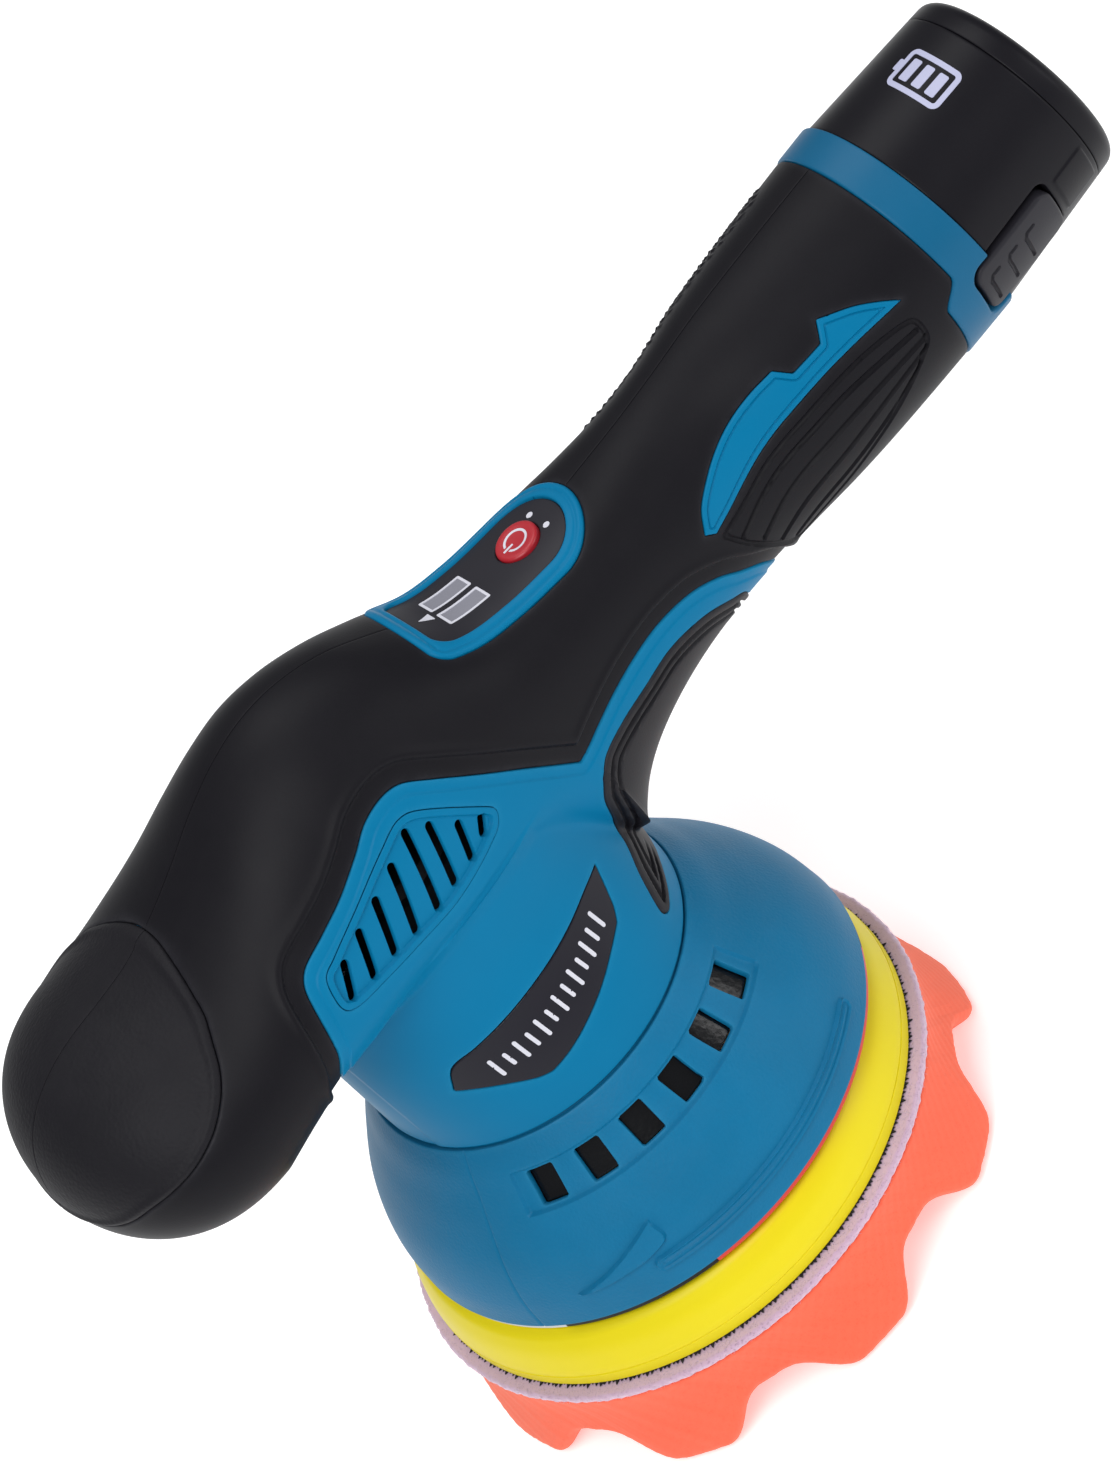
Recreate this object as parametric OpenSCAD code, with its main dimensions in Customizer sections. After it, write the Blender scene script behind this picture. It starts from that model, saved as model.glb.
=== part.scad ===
// Cordless dual action polisher: a pad on an eccentric below a pod shaped body,
// with a battery in the end of its handle. Millimetres, +Z up, +X towards the
// battery. The origin lies on the motor axis, at the foam pad's working face.

/* [Pad] */
// Thickness of the foam pad at its lobes
pad_t = 22; // [18:1:26]
// Radius of the felt loop layer
felt_r = 62.5; // [61:0.5:66]
// Radius of the backing plate
plate_r = 59.2; // [57:0.2:60]
// Number of lobes moulded into the foam
lobes = 9; // [6:1:14]
// Radius of the pad's orbit about the motor axis
throw = 2.6; // [2:0.1:3.5]

/* [Hood] */
// Radius of the hood at its rim
rim_r = 57; // [56:0.5:59]
// Radius where the body's neck meets the hood
collar_r = 38.8; // [38:0.2:40]
// Wall of the hood
hood_wall = 2.6; // [2:0.2:3.2]

/* [Body] */
// Reach of the nose in front of the motor axis
nose_reach = 92.8; // [88:0.2:98]
// Depth of the rubber overmould
skin_t = 1.7; // [1.4:0.1:1.8]
// Overmould and shell together
wall_t = 3.4; // [3.2:0.1:3.4]
// Distance from the motor axis to the end of the handle
handle_end = 163.8; // [162:0.2:166]

/* [Drive] */
// Radius of the motor can
motor_r = 18; // [16:0.5:19]
// Blades on the cooling fan
fan_blades = 9; // [7:1:13]

/* [Battery] */
// Radius of the battery where it meets the handle
battery_r = 26; // [25.6:0.1:26.4]
// Length of the battery outside the handle
battery_out = 36.2; // [34:0.2:42]

/* [Controls] */
// Diameter of the power button
button_d = 9.8; // [8:0.2:11]
// Travel of the power button
button_travel = 0.8; // [0.5:0.1:0.9]

/* [Hidden] */

felt_t = 2;                     // felt bonded to the foam
deck = pad_t + felt_t;          // height of the hook and loop joint
rim_z = deck + 16;              // hood rim
collar_z = deck + 55;           // top of the hood, foot of the neck
axis_z = deck + 103;            // centre line of the handle
gap = 0.1;                      // space between nested mouldings
ring_n = 28;                    // points round each body section
screw_r = 1.5;

TEAL = [0.03, 0.44, 0.62];
BLACK = [0.13, 0.13, 0.14];
YELLOW = [0.93, 0.85, 0.12];
CORAL = [1, 0.42, 0.32];
LILAC = [0.8, 0.67, 0.8];
STEEL = [0.72, 0.73, 0.75];
COPPER = [0.72, 0.42, 0.22];
BOARD = [0.05, 0.32, 0.16];

// The body's sections along X. Each row: x, top above the handle's centre line,
// widest level above that line, half width, squareness of the upper half.
STATIONS = [
    [-60, 31.5, 7, 38, 2], [-50, 32.3, 7.5, 37.8, 2], [-40, 35, 7.5, 36.8, 2],
    [-30, 39, 6, 35.3, 2], [-20, 43.6, 4.5, 33.5, 2], [-10, 47, 3, 32.2, 2],
    [0, 48.4, 2, 31.6, 2], [10, 47.2, 1, 30.2, 2], [20, 43.2, 0.5, 28, 2.1],
    [30, 36.4, 0, 25.8, 2.4], [40, 28.8, -0.4, 24, 2.8], [50, 25.4, -0.7, 22.8, 3],
    [60, 23.9, -1, 22, 3], [70, 23.4, -1.1, 21.2, 2.8], [80, 23.5, -1.3, 20.4, 2.4],
    [92, 23.7, -1.5, 19.9, 2.1], [104, 24.4, -1.4, 20.2, 2], [118, 25.6, -1, 23, 2],
    [132, 26.1, -0.6, 24.6, 2], [150, 26.4, -0.2, 25.8, 2], [166, 26.5, 0, 26.3, 2]];
// Underside of the nose, and of the handle past the neck's fillet
NOSE_FLOOR = [[-60, -15.5], [-50, -12.5], [-40, -11], [-30, -11], [40, -11]];
GRIP_FLOOR = [[78, -24.5], [90, -25], [104, -26], [118, -26.4], [132, -26.6],
    [166, -26.4]];
nose_x = -60;                   // where the nose starts to close
fillet_x = 78.7;                // where the neck's fillet runs out
fillet_run = 40;
fillet_rise = 23.5;
neck_top = 47;                  // height of the neck above the collar

// Smooth curve through the rows of a table: column c against column 0
function row_of(t, x, i = 0) = i >= len(t) - 2 || x < t[i + 1][0] ? i : row_of(t, x, i + 1);
function slope(t, c, i) = let (a = max(i - 1, 0), b = min(i + 1, len(t) - 1))
    (t[b][c] - t[a][c]) / (t[b][0] - t[a][0]);
function curve(t, c, x) = let (i = row_of(t, x), h = t[i + 1][0] - t[i][0],
    s = min(max((x - t[i][0]) / h, 0), 1))
    (2 * s ^ 3 - 3 * s ^ 2 + 1) * t[i][c] + (s ^ 3 - 2 * s ^ 2 + s) * h * slope(t, c, i)
    + (3 * s ^ 2 - 2 * s ^ 3) * t[i + 1][c] + (s ^ 3 - s ^ 2) * h * slope(t, c, i + 1);

// Underside of the body at x: nose, neck fillet as a quarter ellipse, then grip
function fillet_floor(x) = x < fillet_x - fillet_run + 0.01
    ? collar_z + 2 * (fillet_x - fillet_run - x)
    : collar_z + fillet_rise * sqrt(1 - ((fillet_x - x) / fillet_run) ^ 2);
function floor_of(x) = x > fillet_x ? axis_z + curve(GRIP_FLOOR, 1, x)
    : x < -30 ? axis_z + curve(NOSE_FLOOR, 1, x)
    : min(axis_z + curve(NOSE_FLOOR, 1, x), fillet_floor(x));

// One section, shrunk by d on every side. The nose closes as a blunt ellipse.
function section(x, d) = let (
    reach = nose_reach + nose_x - d,
    t = min(max((nose_x - x) / reach, 0), 1),
    fw = sqrt(max(1 - t ^ 2.2, 0)),
    fh = sqrt(max(1 - t ^ 2.6, 0)),
    u = max(x, nose_x),
    mid = axis_z + curve(STATIONS, 2, u),
    up = (axis_z + curve(STATIONS, 1, u) - mid - d) * fh,
    down = (mid - floor_of(u) - d) * fh,
    w = (curve(STATIONS, 3, u) - d) * fw,
    n = curve(STATIONS, 4, u))
    [for (k = [0:ring_n - 1]) let (a = 360 * k / ring_n, c = cos(a), s = sin(a))
        s > 0 ? [x, w * sign(c) * abs(c) ^ (2 / n), mid + up * s ^ (2 / n)]
            : [x, w * c, mid + down * s]];

// Closed solid through rings of equal length; each ring is planar
module loft(rings) {
    n = len(rings[0]);
    m = len(rings);
    polyhedron(points = [for (r = rings) each r],
        faces = concat([[for (k = [0:n - 1]) k]],
            [for (i = [0:m - 2]) for (k = [0:n - 1]) each
                let (a = i * n + k, b = i * n + (k + 1) % n)
                [[a, a + n, b], [b, a + n, b + n]]],
            [[for (k = [n - 1:-1:0]) (m - 1) * n + k]]), convexity = 6);
}

// Nose, hump and handle in one, from the nose tip to x = far
module pod(d, far = handle_end) {
    tip = nose_reach + nose_x - d;
    nose = [for (a = [8:9:81]) nose_x - tip * cos(a)];
    run = [for (k = [0:27]) nose_x + (far - nose_x) * k / 27];
    loft([for (x = concat(nose, run)) section(x, d)]);
}

// Half width of the neck at height h above the collar
function neck_w(h) = let (t = min(max(h / 36, 0), 1)) collar_r - 7.6 * t * t * (3 - 2 * t);

// Round column between the hood and the pod, from height low above the collar
module neck(d, low = 0) {
    loft([for (h = [low, 4, 10, 16, 22, 28, 34, neck_top])
        [for (k = [0:39]) let (a = 360 * k / 40)
            [(collar_r - d) * cos(a), (neck_w(h) - d) * sin(a), collar_z + h]]]);
}

module body(d, low = 0, far = handle_end) {
    pod(d, far);
    neck(d, low);
}

// Prism through the body from a side outline of [x, height above the axis]
module side_prism(outline, grow = 0) {
    rotate([90, 0, 0])
        linear_extrude(120, center = true)
            offset(delta = grow) polygon([for (p = outline) [p[0], axis_z + p[1]]]);
}

module half(side) {
    translate([-150, side > 0 ? 0 : -100, -50]) cube([400, 100, 400]);
}

// Side outlines. Teal shows in these windows of the overmould.
FLANK = [[-38.9, -60], [-39.6, 0], [-38, 6], [-34.6, 15.9], [-32, 20.4], [-28.5, 22.2],
    [-22.7, 23], [-15, 24.2], [-7.3, 26.6], [-1, 28.9], [4.4, 29.2], [9.2, 27.6],
    [14, 22.9], [27.8, 6.9], [36.6, -4.6], [44, -3], [51.8, -1.2], [59.7, -0.1],
    [67.6, -0.1], [75.7, -2], [81.9, -5.6], [88, -12], [99, -28], [90, -60]];
// Rubber finger rest inside the teal flank
FINGER = [[86, -20], [84.6, -16.3], [76.2, -9.5], [70, -7], [64, -6], [48, -7.3],
    [41.2, -8.7], [37.3, -11.5], [34.6, -16.2], [33, -25], [29, -34], [26.2, -40.5],
    [27.4, -42.7], [34, -41], [44, -37], [86, -37]];
VENT = [[-28.5, 9.5], [-29.5, 15], [-27, 18.3], [-3.5, 23.4], [2.5, 24.4], [6.1, 23.2],
    [11, 18.3], [16.8, 10.6], [17.6, 8], [15.9, 6], [11.9, 5], [-3.7, 4.2]];
FLASH = [[86, 3.2], [93.3, 4], [107, 6.8], [115, 8], [124, 8.6], [134, 8.4],
    [145, 7.2], [137.7, 13.5], [131, 16.4], [128.6, 13.2], [120.6, 13], [117.8, 15.9],
    [107, 14.9], [95.2, 11.4], [89, 8]];
// The rubber cap on the nose: its edge runs down and forward from the top
CAP = [[-41, 60], [-42.5, 34], [-46.9, 29.7], [-51.9, 24.8], [-59.1, 19.5],
    [-68.7, 15.6], [-78, 12.9], [-87, 9], [-110, 4], [-110, 60]];
// Label plate on the neck: flat above, bellied below
LABEL = [[-27.6, -31.5], [-24.7, -26], [-18.8, -24.8], [-11.2, -23.8], [4.2, -22.4],
    [18.3, -21.5], [24.2, -21.8], [20.4, -28.6], [18.2, -30.9], [13.1, -32.2],
    [6, -34.3], [-1.9, -36.4], [-7.7, -37.8], [-12.5, -38.6], [-15.3, -37.8],
    [-20.9, -34.8]];
slot_n = 8;
SLOT_LOW = [[-27.4, 11], [-9.8, 7.5], [2, 6.6], [13, 7.2]];
SLOT_HIGH = [[-24, 16], [-9.8, 18.8], [2.6, 21.6], [8.5, 15.6], [15, 9.8]];

// Stadium outline of the control panel, straight at the hump, round at the grip
panel_x = 62;
module panel_outline(r, back) {
    hull() {
        translate([panel_x, 0]) circle(r, $fn = 48);
        translate([panel_x - back, -r]) square([1, 2 * r]);
    }
}
module panel_prism(r, back) {
    translate([0, 0, axis_z + 8]) linear_extrude(60) panel_outline(r, back);
}
bezel_r = 14.5;
bezel_back = 29.5;
overlay_r = 10.8;
overlay_back = 26.7;
panel_z = axis_z + 23.8;        // top of the panel at the button

// Skin between two depths of the body
module layer(outer, inner) {
    difference() {
        body(outer);
        body(inner, -2, handle_end + 2);
    }
}

// Screws through the right shell into the left one; +Z points to the right here
SCREWS = [[-76, 6], [-44, -1], [0, 38], [26, -18], [88, -4]];
module at_screws() {
    for (p = SCREWS) translate([p[0], 0, axis_z + p[1]]) rotate([-90, 0, 0]) children();
}
module screw_wells() {
    at_screws() translate([0, 0, 10]) cylinder(h = 60, r = 3, $fn = 20);
}

// Screws up through the hood into the shells' bosses
module at_hood_screws() {
    for (a = [45:90:315]) rotate([0, 0, a]) translate([31, 0, 0]) children();
}

collar_w = 8.4;                 // width of the teal collar on the handle
module collar_zone(grow) {
    translate([handle_end - collar_w - grow, -40, axis_z - 40]) cube([30, 80, 80]);
    translate([150.5 - grow, -40, axis_z - 40]) cube([30, 80, 40 - 0.5 + grow]);
}

module shell(side) {
    color(TEAL) resize([0, 0, 0]) difference() {
        intersection() {
            union() {
                body(skin_t + gap);
                intersection() {
                    body(0);
                    side_prism(FLANK);
                }
            }
            half(side);
        }
        difference() {
            body(wall_t, -2, handle_end + 2);
            at_screws() cylinder(h = 120, r = 3.6, center = true, $fn = 20);
            at_hood_screws() translate([0, 0, collar_z - 3]) cylinder(h = 13, r = 4, $fn = 20);
        }
        at_screws() translate([0, 0, -15]) cylinder(h = 30, r = screw_r + 0.1, $fn = 20);
        at_hood_screws() translate([0, 0, collar_z - 4])
            cylinder(h = 12, r = screw_r + 0.1, $fn = 20);
        screw_wells();
        side_prism(VENT, 0.15);
        intersection() {
            layer(-1, skin_t + gap);
            side_prism(FINGER, 0.15);
        }
        intersection() {
            layer(-1, 1.1 + gap);
            side_prism(LABEL, 0.15);
        }
        panel_prism(bezel_r + gap, bezel_back + gap);
        collar_zone(gap);
    }
}

module overmould(side) {
    color(BLACK) resize([0, 0, 0]) difference() {
        intersection() {
            layer(0, skin_t);
            half(side);
        }
        side_prism(FLANK, 0.1);
        side_prism(FLASH, 0.1);
        side_prism(CAP, 0.1);
        panel_prism(bezel_r + gap, bezel_back + gap);
        collar_zone(gap);
        screw_wells();
    }
}

// Grained rubber cap halves on the nose, their edge a little proud of the overmould
module nose_grip(side) {
    color(BLACK) resize([0, 0, 0]) intersection() {
        layer(0, skin_t);
        half(side);
        side_prism(CAP);
    }
}

module finger_grip() {
    color(BLACK) resize([0, 0, 0]) intersection() {
        layer(0, skin_t);
        side_prism(FINGER);
    }
}

// Louvre insert: slanted slots through a plate that follows the flank
function pick(t, x) = lookup(x, t);
module vent_grille(side) {
    color(TEAL) resize([0, 0, 0]) difference() {
        intersection() {
            layer(0.5, wall_t - 0.4);
            half(side);
            side_prism(VENT);
        }
        for (k = [0:slot_n - 1]) {
            low = -27 + 5.75 * k;
            high = low + 3.4 + 2.6 * sin(180 * k / (slot_n - 1));
            hull() {
                translate([low, 0, axis_z + pick(SLOT_LOW, low)])
                    rotate([90, 0, 0]) cylinder(h = 100, r = 0.9, center = true, $fn = 12);
                translate([high, 0, axis_z + pick(SLOT_HIGH, high)])
                    rotate([90, 0, 0]) cylinder(h = 100, r = 0.9, center = true, $fn = 12);
            }
        }
    }
}

module label_plate(side) {
    color(BLACK) resize([0, 0, 0]) intersection() {
        layer(-0.2, 1.1);
        half(side);
        side_prism(LABEL);
    }
}

module flash_insert(side) {
    color(TEAL) resize([0, 0, 0]) intersection() {
        layer(-0.2, skin_t);
        half(side);
        side_prism(FLASH);
    }
}

// Teal collar that holds the two shells together round the battery's mouth
module handle_collar() {
    color(TEAL) resize([0, 0, 0]) difference() {
        intersection() {
            layer(0, wall_t);
            collar_zone(0);
        }
        for (s = [-1, 1]) latch_frame(s)
            translate([158, -9, 18]) cube([20, 18, 20]);
    }
}

module control_bezel() {
    color(TEAL) resize([0, 0, 0]) difference() {
        intersection() {
            layer(-0.3, 3);
            panel_prism(bezel_r, bezel_back);
        }
        panel_prism(overlay_r + gap, overlay_back + gap);
    }
}

WINDOWS = [[40.6, -5.9], [40.6, 0.9]];
window_l = 9.4;
window_w = 5;
module window_prisms(grow) {
    for (p = WINDOWS)
        translate([p[0] - grow, p[1] - grow, axis_z + 8])
            cube([window_l + 2 * grow, window_w + 2 * grow, 60]);
}
LEDS = [[68, 3], [68, -3]];
module led_prisms(r) {
    for (p = LEDS) translate([p[0], p[1], axis_z + 8]) cylinder(h = 60, r = r, $fn = 16);
}

module control_overlay() {
    color(BLACK) resize([0, 0, 0]) difference() {
        intersection() {
            layer(0.2, 2.4);
            panel_prism(overlay_r, overlay_back);
        }
        window_prisms(gap);
        led_prisms(0.9);
        translate([panel_x, 0, axis_z]) cylinder(h = 60, r = button_d / 2 + 0.1, $fn = 96);
    }
}

module display_windows() {
    color([0.6, 0.6, 0.64]) resize([0, 0, 0]) intersection() {
        layer(0.1, 1.6);
        window_prisms(0);
    }
}

module led_lenses() {
    color("white") resize([0, 0, 0]) intersection() {
        layer(0.1, 2);
        led_prisms(0.8);
    }
}

board_z = axis_z + 14;          // top of the control board
button_low = panel_z - 4.6;     // foot of the button's skirt
module power_button() {
    color([0.75, 0.12, 0.14]) translate([panel_x, 0, 0]) {
        translate([0, 0, button_low]) cylinder(h = panel_z + 0.7 - button_low,
            r = button_d / 2, $fn = 64);
        translate([0, 0, button_low]) cylinder(h = 1, r = button_d / 2 + 0.9, $fn = 64);
    }
}

module button_spring() {
    color(STEEL) translate([panel_x, 0, board_z]) difference() {
        cylinder(h = button_low - board_z, r = 4, $fn = 48);
        translate([0, 0, -1]) cylinder(h = 20, r = 3.4, $fn = 48);
    }
}

module tact_switch() {
    color(BLACK) translate([panel_x, 0, board_z]) {
        translate([-2, -2, 0]) cube([4, 4, 2]);
        cylinder(h = button_low - board_z - button_travel - 0.2, r = 1.2, $fn = 24);
    }
}

module control_board() {
    color(BOARD) translate([36, -10, board_z - 1.6]) cube([38, 20, 1.6]);
}

// Motor driver above the motor, with its switching transistors and capacitor
module motor_driver_board() {
    color(BOARD) translate([-20, -14, axis_z + 21]) cube([36, 28, 1.6]);
    color(BLACK) for (k = [0:2])
        translate([-17 + 8 * k, -9, axis_z + 22.6]) cube([6, 9, 2]);
    color(STEEL) translate([10, 0, axis_z + 22.6]) cylinder(h = 7, r = 4, $fn = 32);
}

module housing_screws() {
    color(STEEL) at_screws() {
        translate([0, 0, -14]) cylinder(h = 24.5, r = screw_r, $fn = 24);
        translate([0, 0, 10.1]) cylinder(h = 2, r = 2.7, $fn = 24);
    }
}

motor_seat = 5;                 // rise of the hood's seat above the collar
motor_z = collar_z + motor_seat;
motor_h = 44;
shaft_r = 2.5;
module at_motor_screws() {
    for (s = [-1, 1]) translate([s * 11, 0, collar_z - 7.2]) children();
}

module motor_can() {
    color(STEEL) difference() {
        translate([0, 0, motor_z]) rotate_extrude($fn = 96) polygon([
            [5.1, 0], [motor_r, 0], [motor_r, motor_h], [motor_r - 1.5, motor_h],
            [motor_r - 1.5, 1.5], [5.1, 1.5]]);
        at_motor_screws() cylinder(h = 20, r = screw_r + 0.1, $fn = 32);
    }
}

module motor_endcap() {
    color(BLACK) translate([0, 0, motor_z + motor_h]) rotate_extrude($fn = 96) polygon([
        [5.1, 0], [motor_r, 0], [motor_r, 2], [motor_r - 2, 4], [8, 4], [8, 6],
        [5.1, 6]]);
}

module motor_magnets() {
    color([0.3, 0.3, 0.32]) for (a = [-65, 115])
        rotate([0, 0, a]) translate([0, 0, motor_z + 6])
            rotate_extrude(angle = 130, $fn = 96)
                translate([12.6, 0]) square([motor_r - 14.3, 32]);
}

module motor_bearings() {
    color(STEEL) for (z = [motor_z - 4.5, motor_z + motor_h + 0.5])
        translate([0, 0, z]) difference() {
            cylinder(h = 5, r = 5, $fn = 64);
            translate([0, 0, -1]) cylinder(h = 8, r = shaft_r + 0.05, $fn = 64);
        }
}

module carbon_brushes() {
    color([0.2, 0.2, 0.2]) for (s = [-1, 1])
        translate([s * 8.3 - 3.6, -2, motor_z + 39]) cube([7.2, 4, 4]);
}

module motor_screws() {
    color(STEEL) at_motor_screws() {
        cylinder(h = 13.4, r = screw_r, $fn = 32);
        cylinder(h = 1.8, r = 2.8, $fn = 32);
    }
}

module armature_core() {
    color(STEEL) translate([0, 0, motor_z + 8]) difference() {
        cylinder(h = 27, r = 12, $fn = 72);
        translate([0, 0, -1]) cylinder(h = 29, r = shaft_r, $fn = 64);
        for (k = [0:4]) rotate([0, 0, 72 * k])
            translate([7, -1.2, -1]) cube([8, 2.4, 29]);
    }
}

module armature_windings() {
    color(COPPER) for (z = [motor_z + 3.5, motor_z + 35])
        translate([0, 0, z]) difference() {
            cylinder(h = 4.5 - (z > motor_z + 10 ? 1 : 0), r = 10.5, $fn = 64);
            translate([0, 0, -1]) cylinder(h = 8, r = shaft_r, $fn = 64);
        }
}

module commutator() {
    color(COPPER) translate([0, 0, motor_z + 38.5]) difference() {
        cylinder(h = 5, r = 4.5, $fn = 64);
        translate([0, 0, -1]) cylinder(h = 8, r = shaft_r, $fn = 64);
    }
}

hub_z = deck + 20.5;            // lower face of the eccentric hub
hub_h = 13;
bearing_h = 7;
module motor_shaft() {
    low = hub_z + bearing_h + 0.6;
    color(STEEL) translate([0, 0, low])
        cylinder(h = motor_z + motor_h + 5.2 - low, r = shaft_r, $fn = 64);
}

fan_z = deck + 36;
module cooling_fan() {
    color(BLACK) translate([0, 0, fan_z]) difference() {
        union() {
            cylinder(h = 10, r = 7, $fn = 64);
            cylinder(h = 1.4, r = 33, $fn = 96);
            for (k = [0:fan_blades - 1]) rotate([0, 0, 360 * k / fan_blades])
                translate([16, 0, 1.2]) rotate([0, 0, 24])
                    translate([0, -0.6, 0]) cube([16, 1.2, 8]);
        }
        translate([0, 0, -1]) cylinder(h = 13, r = shaft_r, $fn = 64);
    }
}

module eccentric_hub() {
    color(STEEL) translate([0, 0, hub_z]) difference() {
        cylinder(h = hub_h, r = 18, $fn = 96);
        translate([-throw, 0, -1]) cylinder(h = bearing_h + 1, r = 11, $fn = 72);
        translate([-throw, 0, bearing_h - 1]) cylinder(h = 1.6, r = 8, $fn = 64);
        translate([0, 0, bearing_h - 1]) cylinder(h = hub_h, r = shaft_r, $fn = 64);
    }
}

module counterweight() {
    color([0.6, 0.5, 0.25]) rotate([0, 0, -62]) translate([0, 0, hub_z + 2])
        rotate_extrude(angle = 124, $fn = 96) translate([18, 0]) square([11, 9.5]);
}

module pad_bearing() {
    color(STEEL) translate([-throw, 0, hub_z]) difference() {
        cylinder(h = bearing_h, r = 11, $fn = 72);
        translate([0, 0, -1]) cylinder(h = bearing_h + 2, r = 4, $fn = 72);
        translate([0, 0, -0.01]) rotate_extrude($fn = 72) translate([6, 0]) square([3, 0.5]);
    }
}

// Hood outline from rim to collar: [height above the rim, radius against the rim's]
HOOD = [[0, 0], [8, -1], [16, -3.8], [24, -8.5], [30, -12.4], [35, -15.3], [39, -18.1]];
function hood_r(h) = rim_r + curve(HOOD, 1, h);
window_span = 8;
window_pitch = 15;
module hood() {
    outer = [for (k = [0:13]) [hood_r(3 * k), rim_z + 3 * k]];
    inner = [for (k = [11:-1:0]) [hood_r(3 * k) - hood_wall - 0.055 * 3 * k, rim_z + 3 * k]];
    color(TEAL) difference() {
        rotate_extrude($fn = 120) polygon(concat(outer, [[20, collar_z], [20, motor_z],
            [9, motor_z], [9, collar_z - 5]], inner));
        for (s = [0, 180]) for (k = [0:5])
            rotate([0, 0, s - 94 + window_pitch * (k - 2.5)])
                translate([30, -3, rim_z + 26.3]) cube([26, 6, 6.6]);
        at_motor_screws() cylinder(h = 20, r = screw_r + 0.15, $fn = 32);
        at_hood_screws() translate([0, 0, collar_z - 9])
            cylinder(h = 12, r = screw_r + 0.15, $fn = 32);
    }
}

module hood_screws() {
    color(STEEL) at_hood_screws() translate([0, 0, collar_z - 8]) {
        cylinder(h = 15, r = screw_r, $fn = 32);
        cylinder(h = 2, r = 2.8, $fn = 32);
    }
}

// Coloured band under the hood's rim, in three lengths of arc
module rim_arc(from, span) {
    rotate([0, 0, from]) translate([0, 0, rim_z - 1.2])
        rotate_extrude(angle = span, $fn = 120) translate([rim_r - 2.5, 0]) square([2.1, 1.2]);
}
module rim_band_black() {
    color(BLACK) {
        rim_arc(-147, 37);
        rim_arc(-30, 143);
    }
}
module rim_band_red() {
    color([0.8, 0.2, 0.1]) rim_arc(-110, 80);
}
module rim_band_pale() {
    color([0.8, 0.8, 0.82]) rim_arc(113, 100);
}

module spindle() {
    color(STEEL) translate([-throw, 0, 0]) {
        translate([0, 0, hub_z - 1]) cylinder(h = bearing_h + 0.8, r = 3.95, $fn = 72);
        translate([0, 0, hub_z - 2.6]) cylinder(h = 2.2, r = 6.5, $fn = 6);
        translate([0, 0, deck + 4]) cylinder(h = 14, r = 3, $fn = 48);
    }
}

module backing_core() {
    color(BLACK) translate([-throw, 0, 0]) difference() {
        union() {
            translate([0, 0, deck + 4]) cylinder(h = 3, r = 48, $fn = 96);
            translate([0, 0, deck + 4]) cylinder(h = 13.8, r = 12, $fn = 72);
        }
        translate([0, 0, deck + 3]) cylinder(h = 18, r = 3, $fn = 48);
    }
}

// Cast polyurethane plate: a short wall, then a cone up to the hub
module backing_plate() {
    color(YELLOW) translate([-throw, 0, deck]) rotate_extrude($fn = 120) polygon([
        [0, 1.2], [plate_r - 0.8, 1.2], [plate_r, 2], [plate_r - 0.2, 5],
        [plate_r - 1.6, 9.5], [plate_r - 3.8, 13], [plate_r - 7, 14.2], [26, 15.5],
        [12, 15.5], [12, 7], [48, 7], [48, 4], [0, 4]]);
}

module hook_layer() {
    color(BLACK) translate([-throw, 0, deck]) cylinder(h = 1.2, r = plate_r - 1, $fn = 96);
}

module loop_layer() {
    color(LILAC) translate([-throw, 0, pad_t]) cylinder(h = felt_t, r = felt_r, $fn = 120);
}

// Foam pad: a disc whose working face carries radial lobes
face_r = 60.8;                  // mean radius of the lobed face, wider than the felt
foam_rim = 13;                  // rim thickness between the lobes
module foam_pad() {
    root = pad_t - foam_rim;
    color(CORAL) translate([-throw, 0, 0]) {
        translate([0, 0, root]) rotate_extrude($fn = 120) polygon([
            [0, 0], [62.6, 0], [62.2, 5], [61.7, 9], [61.5, foam_rim], [0, foam_rim]]);
        linear_extrude(root) polygon([for (k = [0:119]) let (a = 3 * k,
            r = face_r + 4.7 * cos(lobes * (a + 96))) r * [cos(a), sin(a)]]);
    }
}

// Contact blades that reach into the battery's tongue
module terminal_block() {
    color(BLACK) translate([99, -9, axis_z - 7]) cube([13, 18, 14]);
    color(COPPER) for (y = [-4, 0, 4])
        translate([112, y - 0.4, axis_z - 3]) cube([12, 0.8, 6]);
}

cell_r = 9.1;
cell_l = 65;
cell_x = handle_end + battery_out - 2 - cell_l;
stem_x = cell_x - 1.6;
module at_cells() {
    for (a = [30, 150, 270])
        rotate([a, 0, 0]) translate([0, 10.6, 0]) rotate([0, 90, 0]) children();
}

// The latches sit 20 degrees below the sides; this frame's +Z points outwards
module latch_frame(side) {
    translate([0, 0, axis_z]) rotate([side < 0 ? 110 : -110, 0, 0]) children();
}
latch_l = 17;
latch_w = 15;
latch_x = handle_end + 1;
latch_foot = 20;
latch_travel = 1.5;

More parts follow.
